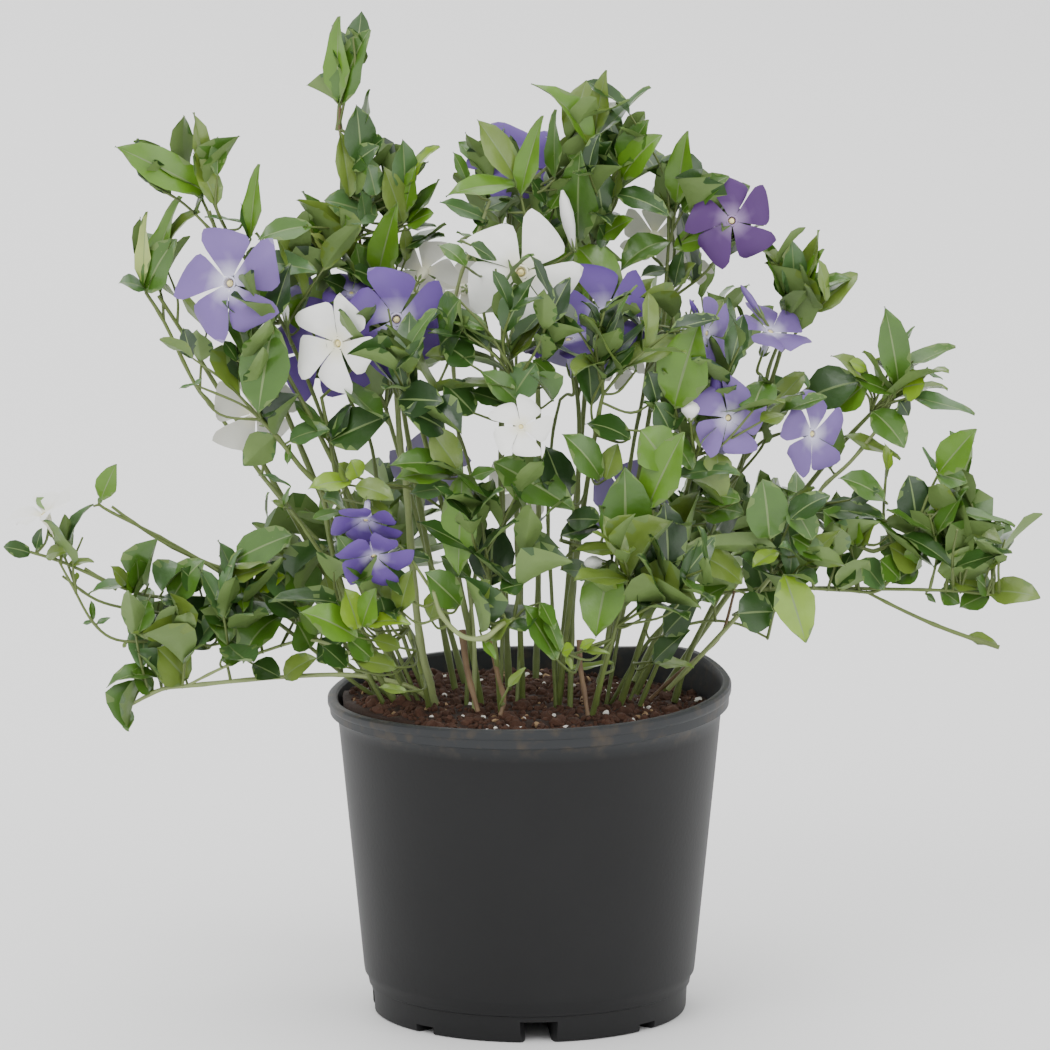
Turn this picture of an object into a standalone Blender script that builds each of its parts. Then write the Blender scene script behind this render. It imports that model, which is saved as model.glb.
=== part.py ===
"""Potted lesser periwinkle: a young clump in a round nursery pot.

The origin is the middle of the pot's underside, on the surface that it stands on, and +Z is up.
Sizes in the tables are millimetres. Every object is one closed solid in its own place.
"""

import math
import random

import bmesh
import bpy
from mathutils import Euler, Vector, noise
from mathutils.bvhtree import BVHTree

# Units and the space kept between two solids that meet
MM = 0.001
GAP = 0.0004
MERGE = 0.00001

# Pot, in millimetres
POT_HEIGHT = 105.5
RIM_RADIUS = 65.0
RIM_BAND = 6.0
RIM_STEP = 1.2
BODY_TOP_RADIUS = 61.6
BODY_FOOT_RADIUS = 53.4
BODY_FOOT_HEIGHT = 14.0
FOOT_RADIUS = 50.6
FOOT_STEP_HEIGHT = 9.0
FOOT_EDGE = 0.7
FLOOR_HEIGHT = 8.4
WALL = 1.3
TURNED_STEPS = 36
POT_TURN = math.radians(3.4)

# Channels under the foot and the raised middle, in millimetres
WIDE_CHANNEL = (4.2, 11.9, 6.9)
NARROW_CHANNEL = (2.6, 6.8, 2.6)
CHANNEL_START = 14.0
CHANNEL_FLARE = 4
RAISED_RADIUS = 18.0
RAISED_HEIGHT = 7.0
DRAIN_RADIUS = 4.0
DRAIN_PLACE = 24.0

# Potting mix, in millimetres
SOIL_TOP = 99.0
SOIL_MOUND = 3.0
SOIL_ROUGHNESS = 1.6
SOIL_RINGS = (12.0, 24.0, 36.0, 48.0)

# Stems, in millimetres
STEM_ROOTED = 6.0
STEM_FOOT_RADIUS = 1.7
STEM_TIP_RADIUS = 0.9
STEM_POINTS = 5

# Foliage: how deep the hollows between the lobes of a mass are, as a share of its size
LOBE_DEPTH = 0.34
LOBE_SHARPNESS = 5
FINE_MASS = (11, 7)
COARSE_MASS = (9, 6)

# Each stem: name, foot on the soil, a point on the way, its end, and the mass that it ends in.
# A runner that starts in a mass gives that mass as its start.
STEMS = (
    ("stem_upper_left", (-34, -6), (-79, -8, 200), (-104, -8, 268), "", "upper_left_tuft"),
    ("stem_far_left", (-40, 6), (-84, 5, 175), (-121, 6, 236), "", "far_left_tuft"),
    ("stem_left_crown", (-22, 2), (-38, 6, 180), (-50, 6, 258), "", "left_crown"),
    ("stem_top", (-58, 0, 270), (-61, -2, 290), (-59, -4, 308), "left_crown", "top_tuft"),
    ("stem_centre_crown", (-6, 8), (-9, 12, 190), (-6, 10, 262), "", "centre_crown"),
    ("stem_centre_right", (8, 4), (17, 6, 190), (21, 2, 262), "", "centre_crown_right"),
    ("stem_right_shoot", (20, -2), (37, 4, 185), (47, 8, 256), "", "right_shoot_tuft"),
    ("stem_right_tuft", (30, 8), (66, 8, 172), (86, 4, 236), "", "right_tuft"),
    ("stem_far_right", (38, 14), (82, 16, 158), (113, 10, 197), "", "far_right_tuft"),
    ("stem_left_body", (-26, -14), (-56, -24, 170), (-84, -30, 226), "", "left_body"),
    ("stem_centre_left_body", (-14, -16), (-26, -36, 165), (-42, -54, 226), "", "centre_left_body"),
    ("stem_centre_body", (-2, -12), (-4, -28, 165), (-5, -44, 222), "", "centre_body"),
    ("stem_centre_right_body", (8, -14), (17, -32, 170), (26, -46, 226), "", "centre_right_body"),
    ("stem_right_body", (26, -10), (46, -26, 160), (58, -40, 212), "", "right_body"),
    ("stem_low_left", (-30, -24), (-38, -42, 132), (-48, -58, 160), "", "low_left_body"),
    ("stem_low_centre", (-8, -28), (-12, -46, 140), (-15, -62, 176), "", "low_centre_body"),
    ("stem_low_right", (18, -30), (27, -46, 134), (36, -60, 166), "", "low_right_body"),
    ("stem_left_trail", (-44, -6), (-62, -4, 124), (-84, -2, 136), "", "left_trail_near"),
    ("stem_right_trail", (44, 0), (60, 0, 134), (80, 0, 152), "", "right_trail_near"),
    ("stem_back_left", (-18, 22), (-38, 42, 158), (-54, 56, 214), "", "back_left_crown"),
    ("stem_back_centre", (2, 24), (3, 44, 165), (2, 58, 228), "", "back_centre_crown"),
    ("stem_back_right", (20, 22), (40, 42, 155), (56, 54, 208), "", "back_right_crown"),
    ("stem_back_left_low", (-28, 26), (-44, 44, 124), (-60, 58, 142), "", "back_left_low"),
    ("stem_back_right_low", (30, 26), (48, 44, 124), (64, 58, 142), "", "back_right_low"),
    ("runner_left_high", (-96, 4, 142), (-117, 4, 152), (-138, 4, 167), "left_trail_near", "left_high_tip"),
    ("runner_left_tip", (-118, 0, 128), (-136, 0, 140), (-154, 0, 152), "left_trail_low", "left_trail_tip"),
    ("runner_right_low", (108, 0, 137), (130, -2, 126.5), (151, -2, 119), "right_trail_far", ""),
)

# Each mass of foliage: name, middle, half sizes along its own axes, tilt seen from the front,
# turn seen from above (degrees), and its outline's fineness
MASSES = (
    ("top_tuft", (-59, -4, 310.8), (14.8, 11, 9.8), 78, 0, COARSE_MASS),
    ("upper_left_tuft", (-109, -8, 277), (24, 14, 15), -16, 0, COARSE_MASS),
    ("far_left_tuft", (-120, 6, 246), (17, 10, 9.6), 70, 0, COARSE_MASS),
    ("left_crown", (-52, 4, 262), (32, 24, 19), 97, 0, FINE_MASS),
    ("left_crown_side", (-74, -14, 249), (19, 17, 14), 20, 0, COARSE_MASS),
    ("centre_crown", (-7, 6, 266), (22, 24, 21), 0, 0, FINE_MASS),
    ("centre_crown_right", (23, -2, 275), (29, 22, 17), 85, 0, FINE_MASS),
    ("right_shoot_tuft", (53, 4, 260), (25, 20, 18), 75, 0, FINE_MASS),
    ("right_tuft", (88, 2, 240), (19, 15, 12), 60, 0, COARSE_MASS),
    ("far_right_tuft", (116, 6, 206), (27, 16, 18), -20, 0, FINE_MASS),
    ("right_tip_tuft", (138, 12, 178), (12, 9, 10), 70, 0, COARSE_MASS),
    ("left_body", (-95, -26, 230), (33, 22, 17), 66, -10, FINE_MASS),
    ("centre_left_body", (-45, -56, 224), (29, 28, 20), -8, -15, FINE_MASS),
    ("centre_body", (-4, -50, 234), (20, 26, 23), 0, 0, FINE_MASS),
    ("centre_right_body", (28, -50, 226), (24, 26, 19), -8, 10, FINE_MASS),
    ("right_body", (60, -40, 215), (30, 24, 19), 80, 20, FINE_MASS),
    ("right_low_body", (87, -24, 197), (19, 16, 15), 20, 30, COARSE_MASS),
    ("low_left_body", (-49, -60, 154), (23, 26, 28), 0, -20, FINE_MASS),
    ("low_centre_body", (-12, -66, 180), (25, 22, 25), 0, 0, FINE_MASS),
    ("low_right_body", (38, -65, 161), (26, 26, 34), 0, 15, FINE_MASS),
    ("right_trail_near", (82, -6, 149), (31, 36, 21), 0, 0, FINE_MASS),
    ("right_trail_far", (136.4, 0, 151), (28, 26, 19), -8, 0, FINE_MASS),
    ("left_trail_near", (-83, -4, 134), (27, 36, 21), 8, 0, FINE_MASS),
    ("left_trail_low", (-119, -2, 120), (22, 24, 18), -30, 0, FINE_MASS),
    ("left_trail_tip", (-153, 0, 153), (15, 11, 11), 0, 0, COARSE_MASS),
    ("left_high_tip", (-137, 4, 171), (8.5, 6, 5), 70, 0, COARSE_MASS),
    ("back_left_crown", (-56, 58, 212), (34, 33, 26), 15, 20, FINE_MASS),
    ("back_centre_crown", (4, 60, 230), (34, 31, 26), 0, 0, FINE_MASS),
    ("back_right_crown", (60, 57, 206), (33, 34, 24), -15, -20, FINE_MASS),
    ("back_left_low", (-56, 60, 146), (34, 31, 18), 5, 25, FINE_MASS),
    ("back_right_low", (70, 60, 146), (36, 30, 18), -5, -25, FINE_MASS),
)


def clear_scene():
    """Remove everything that the scene holds."""
    for obj in list(bpy.data.objects):
        bpy.data.objects.remove(obj, do_unlink=True)


def new_collection(name):
    """Add a collection to the scene."""
    collection = bpy.data.collections.new(name)
    bpy.context.scene.collection.children.link(collection)
    return collection


def plain_material(name, colour, roughness, metallic=0.0):
    """A Principled material of one colour."""
    material = bpy.data.materials.new(name)
    material.use_nodes = True
    shader = material.node_tree.nodes["Principled BSDF"]
    shader.inputs["Base Color"].default_value = (*colour, 1.0)
    shader.inputs["Roughness"].default_value = roughness
    shader.inputs["Metallic"].default_value = metallic
    return material


def pot_material():
    """Charcoal moulded plastic."""
    return plain_material("pot_plastic", (0.030, 0.031, 0.033), 0.48)


def soil_material():
    """Moist dark potting mix."""
    return plain_material("potting_mix", (0.055, 0.032, 0.022), 0.95)


def stem_material():
    """Green bark of a young stem."""
    return plain_material("stem_bark", (0.130, 0.170, 0.050), 0.6)


def leaf_material():
    """Mid green of the leaves taken together."""
    return plain_material("foliage", (0.085, 0.190, 0.040), 0.45)


def add_object(name, mesh, collection, material=None):
    """Put a mesh in the scene under its own name."""
    obj = bpy.data.objects.new(name, mesh)
    collection.objects.link(obj)
    if material is not None and not mesh.materials:
        mesh.materials.append(material)
    return obj


def evaluated_mesh(obj):
    """The mesh that an object shows, in flat triangles, with its loose caps and doubles welded."""
    depsgraph = bpy.context.evaluated_depsgraph_get()
    mesh = bpy.data.meshes.new_from_object(obj.evaluated_get(depsgraph))
    bm = bmesh.new()
    bm.from_mesh(mesh)
    bmesh.ops.remove_doubles(bm, verts=bm.verts, dist=MERGE)
    bmesh.ops.dissolve_degenerate(bm, edges=bm.edges, dist=MERGE)
    bmesh.ops.triangulate(bm, faces=bm.faces)
    bm.to_mesh(mesh)
    bm.free()
    return mesh


def hide_cutter(obj):
    """Show a cutter as wires only."""
    obj.hide_render = True
    obj.display_type = "WIRE"


def add_boolean(target, cutter):
    """Cut one object out of another."""
    modifier = target.modifiers.new("cut_" + cutter.name, "BOOLEAN")
    modifier.operation = "DIFFERENCE"
    modifier.solver = "EXACT"
    modifier.object = cutter


def turned(name, profile, collection, material):
    """A solid turned about the Z axis from a profile in millimetres."""
    mesh = bpy.data.meshes.new(name)
    points = [(radius * MM, 0.0, height * MM) for radius, height in profile]
    edges = [(i, i + 1) for i in range(len(points) - 1)]
    mesh.from_pydata(points, edges, [])
    obj = add_object(name, mesh, collection, material)
    screw = obj.modifiers.new("turn", "SCREW")
    screw.steps = TURNED_STEPS
    screw.render_steps = TURNED_STEPS
    screw.use_merge_vertices = True
    screw.merge_threshold = MERGE
    return obj


def body_radius(height):
    """Outer radius of the pot's wall at a height, in millimetres."""
    top = POT_HEIGHT - RIM_BAND
    share = (height - BODY_FOOT_HEIGHT) / (top - BODY_FOOT_HEIGHT)
    return BODY_FOOT_RADIUS + share * (BODY_TOP_RADIUS - BODY_FOOT_RADIUS)


def pot_profile():
    """The pot's section: along the floor, up the inner wall, over the rim, down and under."""
    band_foot = POT_HEIGHT - RIM_BAND
    rim_inside = RIM_RADIUS - WALL
    inside = [
        (0.0, FLOOR_HEIGHT),
        (FOOT_RADIUS - WALL, FLOOR_HEIGHT),
        (BODY_FOOT_RADIUS - WALL, BODY_FOOT_HEIGHT),
        (body_radius(band_foot - RIM_STEP) - WALL, band_foot - RIM_STEP),
        (rim_inside, band_foot + RIM_STEP),
        (rim_inside, POT_HEIGHT - RIM_STEP / 2),
    ]
    outside = [
        (RIM_RADIUS - WALL / 2, POT_HEIGHT),
        (RIM_RADIUS, POT_HEIGHT - RIM_STEP),
        (RIM_RADIUS, band_foot),
        (body_radius(band_foot), band_foot - RIM_STEP),
        (BODY_FOOT_RADIUS, BODY_FOOT_HEIGHT),
        (BODY_FOOT_RADIUS - RIM_STEP, FOOT_STEP_HEIGHT + RIM_STEP),
        (FOOT_RADIUS, FOOT_STEP_HEIGHT),
        (FOOT_RADIUS - FOOT_EDGE / 2, FOOT_EDGE),
        (FOOT_RADIUS - FOOT_EDGE, 0.0),
        (0.0, 0.0),
    ]
    return inside + outside


def channel_outline(inner_half, outer_half):
    """Half widths of a channel that flares as it runs out to the foot's edge."""
    reach = FOOT_RADIUS - CHANNEL_START
    places = [0.0, 0.35, 0.6, 0.78, 0.9, 1.0, 1.12]
    side = [
        (CHANNEL_START + reach * t, inner_half + (outer_half - inner_half) * min(t, 1.0) ** CHANNEL_FLARE)
        for t in places
    ]
    return side + [(radius, -half) for radius, half in reversed(side)]


def channel_cutter(name, size, angle, cutters):
    """One channel under the foot, as a flat outline with a thickness."""
    inner_half, outer_half, height = size
    outline = channel_outline(inner_half, outer_half)
    curve = bpy.data.curves.new(name, "CURVE")
    curve.dimensions = "2D"
    curve.fill_mode = "BOTH"
    curve.extrude = height * MM
    spline = curve.splines.new("POLY")
    spline.points.add(len(outline) - 1)
    for point, (radius, half) in zip(spline.points, outline):
        x = radius * math.sin(angle) + half * math.cos(angle)
        y = half * math.sin(angle) - radius * math.cos(angle)
        point.co = (x * MM, y * MM, 0.0, 1.0)
    spline.use_cyclic_u = True
    guide = bpy.data.objects.new(name + "_outline", curve)
    cutters.objects.link(guide)
    bpy.context.view_layer.update()
    mesh = evaluated_mesh(guide)
    cutter = add_object(name, mesh, cutters)
    cutter.matrix_world = guide.matrix_world
    bpy.data.objects.remove(guide)
    hide_cutter(cutter)
    return cutter


def post_cutter(name, radius, low, high, place, cutters):
    """A round upright cutter."""
    bm = bmesh.new()
    bmesh.ops.create_cone(bm, cap_ends=True, segments=12, radius1=radius * MM,
                          radius2=radius * MM, depth=(high - low) * MM)
    mesh = bpy.data.meshes.new(name)
    bm.to_mesh(mesh)
    bm.free()
    cutter = add_object(name, mesh, cutters)
    cutter.location = Vector((place[0], place[1], (low + high) / 2)) * MM
    hide_cutter(cutter)
    return cutter


def make_pot(collection, cutters):
    """The nursery pot: thin wall, stepped rim, and a foot cut by eight channels."""
    pot = turned("pot", pot_profile(), collection, pot_material())
    for i in range(8):
        size = NARROW_CHANNEL if i % 2 else WIDE_CHANNEL
        angle = POT_TURN + i * math.pi / 4
        add_boolean(pot, channel_cutter(f"channel_{i}", size, angle, cutters))
        if i % 2 == 0:
            place = (DRAIN_PLACE * math.sin(angle), -DRAIN_PLACE * math.cos(angle))
            hole = post_cutter(f"drain_{i}", DRAIN_RADIUS, 3.0, 12.0, place, cutters)
            add_boolean(pot, hole)
    raised = post_cutter("raised_middle", RAISED_RADIUS, -RAISED_HEIGHT, RAISED_HEIGHT, (0, 0), cutters)
    add_boolean(pot, raised)
    return pot


def soil_profile():
    """The potting mix fills the pot up to a little under its rim."""
    space = GAP / MM
    side = [
        (body_radius(SOIL_TOP - 2.0) - WALL - space, SOIL_TOP - 2.0),
        (BODY_FOOT_RADIUS - WALL - space, BODY_FOOT_HEIGHT),
        (FOOT_RADIUS - WALL - space, FLOOR_HEIGHT + space),
        (0.0, FLOOR_HEIGHT + space),
    ]
    return [(0.0, SOIL_TOP)] + [(radius, SOIL_TOP) for radius in SOIL_RINGS] + side


def soil_lift(point):
    """How far the surface stands above its mean level, in metres."""
    reach = Vector((point.x, point.y, 0.0)).length / (BODY_TOP_RADIUS * MM)
    mound = SOIL_MOUND * (1.0 - reach * reach)
    lumps = SOIL_ROUGHNESS * noise.noise(Vector((point.x, point.y, 0.0)) * 55.0)
    return (mound + lumps) * MM


def make_soil(collection):
    """Root ball and potting mix, with an uneven surface."""
    guide = turned("soil_turned", soil_profile(), collection, soil_material())
    bpy.context.view_layer.update()
    mesh = evaluated_mesh(guide)
    bpy.data.objects.remove(guide)
    level = (SOIL_TOP - 1.0) * MM
    for vertex in mesh.vertices:
        if vertex.co.z > level:
            vertex.co.z += soil_lift(vertex.co)
    return add_object("soil", mesh, collection)


def path_through(start, way, end, count):
    """Points of a smooth arc that passes a middle point half way along."""
    start, way, end = Vector(start), Vector(way), Vector(end)
    control = way * 2.0 - (start + end) / 2.0
    points = []
    for i in range(count):
        t = i / (count - 1)
        points.append(start * (1 - t) ** 2 + control * (2 * t * (1 - t)) + end * t * t)
    return points


def make_stem(row, collection, material, spare=0.0):
    """One tapering stem or runner, as a tube along its path, thicker all over by the spare width."""
    name, start, way, end, _, _ = row
    if len(start) == 2:
        start = (*start, SOIL_TOP - STEM_ROOTED)
    curve = bpy.data.curves.new(name, "CURVE")
    curve.dimensions = "3D"
    curve.bevel_depth = MM
    curve.bevel_resolution = 1
    curve.use_fill_caps = True
    spline = curve.splines.new("POLY")
    spline.points.add(STEM_POINTS - 1)
    for i, place in enumerate(path_through(start, way, end, STEM_POINTS)):
        share = i / (STEM_POINTS - 1)
        radius = STEM_FOOT_RADIUS + (STEM_TIP_RADIUS - STEM_FOOT_RADIUS) * share
        spline.points[i].co = (*(place * MM), 1.0)
        spline.points[i].radius = radius + spare
    guide = bpy.data.objects.new(name + "_path", curve)
    collection.objects.link(guide)
    bpy.context.view_layer.update()
    mesh = evaluated_mesh(guide)
    bpy.data.objects.remove(guide)
    return add_object(name, mesh, collection, material)


def lobed_ball(seed, fineness):
    """A ball whose surface swells into lobes, stretched to fill one unit each way."""
    rng = random.Random(seed)
    lobes = []
    for _ in range(9):
        lobes.append(Vector((rng.gauss(0, 1), rng.gauss(0, 1), rng.gauss(0, 1))).normalized())
    bm = bmesh.new()
    bmesh.ops.create_uvsphere(bm, u_segments=fineness[0], v_segments=fineness[1], radius=1.0)
    for vertex in bm.verts:
        way = vertex.co.normalized()
        swell = max(max(0.0, way.dot(lobe)) ** LOBE_SHARPNESS for lobe in lobes)
        vertex.co = way * (1.0 - LOBE_DEPTH + LOBE_DEPTH * swell)
    for axis in range(3):
        low = min(vertex.co[axis] for vertex in bm.verts)
        high = max(vertex.co[axis] for vertex in bm.verts)
        for vertex in bm.verts:
            vertex.co[axis] = (vertex.co[axis] - low) / (high - low) * 2.0 - 1.0
    bmesh.ops.triangulate(bm, faces=bm.faces)
    return bm


def make_mass(row, seed, collection, material):
    """One uneven mass of foliage at its place."""
    name, middle, half, tilt, turn, fineness = row
    bm = lobed_ball(seed, fineness)
    turning = Euler((0.0, -math.radians(tilt), math.radians(turn)), "XYZ").to_matrix()
    for vertex in bm.verts:
        stretched = Vector((vertex.co.x * half[0], vertex.co.y * half[1], vertex.co.z * half[2]))
        vertex.co = (Vector(middle) + turning @ stretched) * MM
    mesh = bpy.data.meshes.new(name)
    bm.to_mesh(mesh)
    bm.free()
    return add_object(name, mesh, collection, material)


def grown_copy(obj, cutters):
    """A copy whose surface stands out by the gap, to cut its neighbours with."""
    mesh = obj.data.copy()
    normals = [vertex.normal.copy() for vertex in mesh.vertices]
    for vertex, normal in zip(mesh.vertices, normals):
        vertex.co += normal * GAP
    cutter = add_object("clear_" + obj.name, mesh, cutters)
    hide_cutter(cutter)
    return cutter


def tree_of(obj):
    """A search tree of an object's faces."""
    bm = bmesh.new()
    bm.from_mesh(obj.data)
    tree = BVHTree.FromBMesh(bm)
    bm.free()
    return tree


def keep_largest_piece(mesh):
    """Drop the small scraps that a cut leaves loose."""
    bm = bmesh.new()
    bm.from_mesh(mesh)
    left = set(bm.verts)
    pieces = []
    while left:
        piece = {left.pop()}
        edge_of = list(piece)
        while edge_of:
            vertex = edge_of.pop()
            for edge in vertex.link_edges:
                other = edge.other_vert(vertex)
                if other in left:
                    left.remove(other)
                    piece.add(other)
                    edge_of.append(other)
        pieces.append(piece)
    pieces.sort(key=len)
    scraps = [vertex for piece in pieces[:-1] for vertex in piece]
    bmesh.ops.delete(bm, geom=scraps, context="VERTS")
    bm.to_mesh(mesh)
    bm.free()


def cut_clear(target, cutter):
    """Cut an object back where it runs into a cutter."""
    if not tree_of(target).overlap(tree_of(cutter)):
        return
    add_boolean(target, cutter)
    bpy.context.view_layer.update()
    mesh = evaluated_mesh(target)
    keep_largest_piece(mesh)
    target.modifiers.clear()
    target.data = mesh


def main():
    """Make the pot, the soil, the stems and the foliage."""
    clear_scene()
    plant = new_collection("potted_lesser_periwinkle")
    cutters = new_collection("cutters")
    make_pot(plant, cutters)
    soil_room = grown_copy(make_soil(plant), cutters)
    bark = stem_material()
    green = leaf_material()
    masses = {}
    room = {}
    for seed, row in enumerate(MASSES):
        name = row[0]
        masses[name] = make_mass(row, seed, plant, green)
        room[name] = grown_copy(masses[name], cutters)
        for earlier in list(room)[:-1]:
            cut_clear(masses[name], room[earlier])
    for row in STEMS:
        begins_in, ends_in = row[4:]
        stem = make_stem(row, plant, bark)
        for host in (begins_in, ends_in):
            if host:
                cut_clear(stem, room[host])
        if not begins_in:
            cut_clear(stem, soil_room)
        stem_room = make_stem(row, cutters, bark, GAP / MM)
        hide_cutter(stem_room)
        for name, mass in masses.items():
            if name not in (begins_in, ends_in):
                cut_clear(mass, stem_room)
        bpy.data.objects.remove(stem_room)
    for cutter in [soil_room, *room.values()]:
        bpy.data.objects.remove(cutter)


main()
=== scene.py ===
"""Looks of a lesser periwinkle in flower, in its black nursery pot.

Each kind of piece has its own operator. Places read off the front view are columns and rows of a picture
1050 pixels wide and high, with a depth in millimetres behind the pot's axis. Lengths are metres unless
their name or comment says otherwise.
"""

import math
import random
from collections import namedtuple

import bmesh
import bpy
import numpy as np
from mathutils import Matrix, Vector, noise


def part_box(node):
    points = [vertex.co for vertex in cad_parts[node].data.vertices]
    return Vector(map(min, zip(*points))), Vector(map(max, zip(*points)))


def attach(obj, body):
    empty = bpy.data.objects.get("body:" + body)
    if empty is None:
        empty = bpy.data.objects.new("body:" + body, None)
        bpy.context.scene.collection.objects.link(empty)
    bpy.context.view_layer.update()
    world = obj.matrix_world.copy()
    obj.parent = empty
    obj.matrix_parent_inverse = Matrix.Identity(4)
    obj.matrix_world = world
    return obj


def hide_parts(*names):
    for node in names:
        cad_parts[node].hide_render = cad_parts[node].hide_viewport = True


bl_info = {
    "name": "Potted Lesser Periwinkle",
    "version": (1, 0, 0),
    "blender": (4, 5, 0),
    "location": "View3D > Sidebar > Periwinkle",
    "description": "Builds the pot, potting mix, stems, leaves and flowers of a potted periwinkle",
    "category": "Add Mesh",
}

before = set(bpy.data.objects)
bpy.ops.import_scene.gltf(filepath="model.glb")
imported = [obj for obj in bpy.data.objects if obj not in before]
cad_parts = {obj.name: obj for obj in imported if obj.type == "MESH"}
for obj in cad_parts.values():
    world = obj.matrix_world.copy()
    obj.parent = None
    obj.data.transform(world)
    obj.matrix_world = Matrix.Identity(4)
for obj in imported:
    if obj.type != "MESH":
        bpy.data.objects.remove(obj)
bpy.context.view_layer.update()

# The front view
PICTURE = 1050
PIXEL = 0.000321
AXIS_COLUMN = 529.5
GROUND_ROW = 1009.0
VIEW_RISE = math.radians(11.8)
CAMERA_AWAY = 4.5
SENSOR_MM = 36.0
TOWARD = Vector((0.0, -math.cos(VIEW_RISE), math.sin(VIEW_RISE)))
VIEW_UP = Vector((0.0, math.sin(VIEW_RISE), math.cos(VIEW_RISE)))
VIEW_RIGHT = Vector((1.0, 0.0, 0.0))
UP = Vector((0.0, 0.0, 1.0))
MIDDLE = (PICTURE / 2 - AXIS_COLUMN) * PIXEL, (GROUND_ROW - PICTURE / 2) * PIXEL
AIM = Vector((MIDDLE[0], 0.0, MIDDLE[1] / math.cos(VIEW_RISE)))

# Pot and potting mix
POT_HEIGHT = 0.1055
POT_FLOOR = 0.0084
RIM_RADIUS = 0.065
RIM_FOOT = 0.0990
BODY_TOP = 0.0616
BODY_TOP_HEIGHT = 0.0965
BODY_FOOT = 0.0534
BODY_FOOT_HEIGHT = 0.014
FOOT_RADIUS = 0.0506
FOOT_STEP = 0.009
RAISED_RADIUS = 0.018
RAISED_HEIGHT = 0.007
WALL = 0.0013
POT_TURN = math.radians(3.4)
# Channels of the foot: half width inside, half width at its edge, height
CHANNELS = ((0.0042, 0.0119, 0.0069), (0.0026, 0.0068, 0.0026))
CHANNEL_START = 0.022
CHANNEL_FLARE = 0.0045
DRAIN_RADIUS = 0.004
DRAIN_PLACE = 0.026
SOIL_LEVEL = 0.1005
SOIL_MOUND = 0.0018
SOIL_BOTTOM = 0.076
CRUMB_REACH = 0.0575

MASS_NODES = sorted(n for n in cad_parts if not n.startswith(("stem_", "runner_", "pot", "soil")))
STEM_NODES = sorted(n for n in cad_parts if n.startswith(("stem_", "runner_")))
MASS_BOXES = {name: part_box(name) for name in MASS_NODES}

# The darkest leaf green is painted shade: it stands in for the shade on leaves inside the foliage.
FRESH, MID, DARK, PAINTED_SHADE, OLIVE, YOUNG, GREY, LIME = range(8)
LEAF_COLOURS = (
    ("fresh", (0.085, 0.190, 0.010)),
    ("mid", (0.048, 0.120, 0.010)),
    ("dark", (0.022, 0.066, 0.008)),
    ("painted_shade", (0.012, 0.038, 0.007)),
    ("olive", (0.120, 0.185, 0.026)),
    ("young", (0.290, 0.370, 0.090)),
    ("grey", (0.056, 0.125, 0.034)),
    ("lime", (0.160, 0.270, 0.012)),
)
PLAIN, ARCHED, CURLED, FOLDED, BACKWARD, TWIST_LEFT, TWIST_RIGHT, ROUND = range(8)
# Bend along the leaf, fold along its rib and twist in degrees, then how blunt its tip is
LEAF_SHAPES = ((14, 12, 0, 0.0), (42, 14, 0, 0.0), (80, 18, 0, 0.0), (12, 48, 0, 0.0),
               (-26, 16, 0, 0.0), (22, 18, 32, 0.0), (22, 18, -32, 0.0), (20, 10, 0, 1.0))

# What the rows of the tables below hold, lengths in pixels, depths in millimetres and turns in degrees
LeafRow = namedtuple("LeafRow", "column row tip_column tip_row width face lean shape tint")
FlowerRow = namedtuple("FlowerRow", "colour column row depth turn lift spin width cup")
BudRow = namedtuple("BudRow", "colour column row tip_column tip_row width depth")

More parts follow.
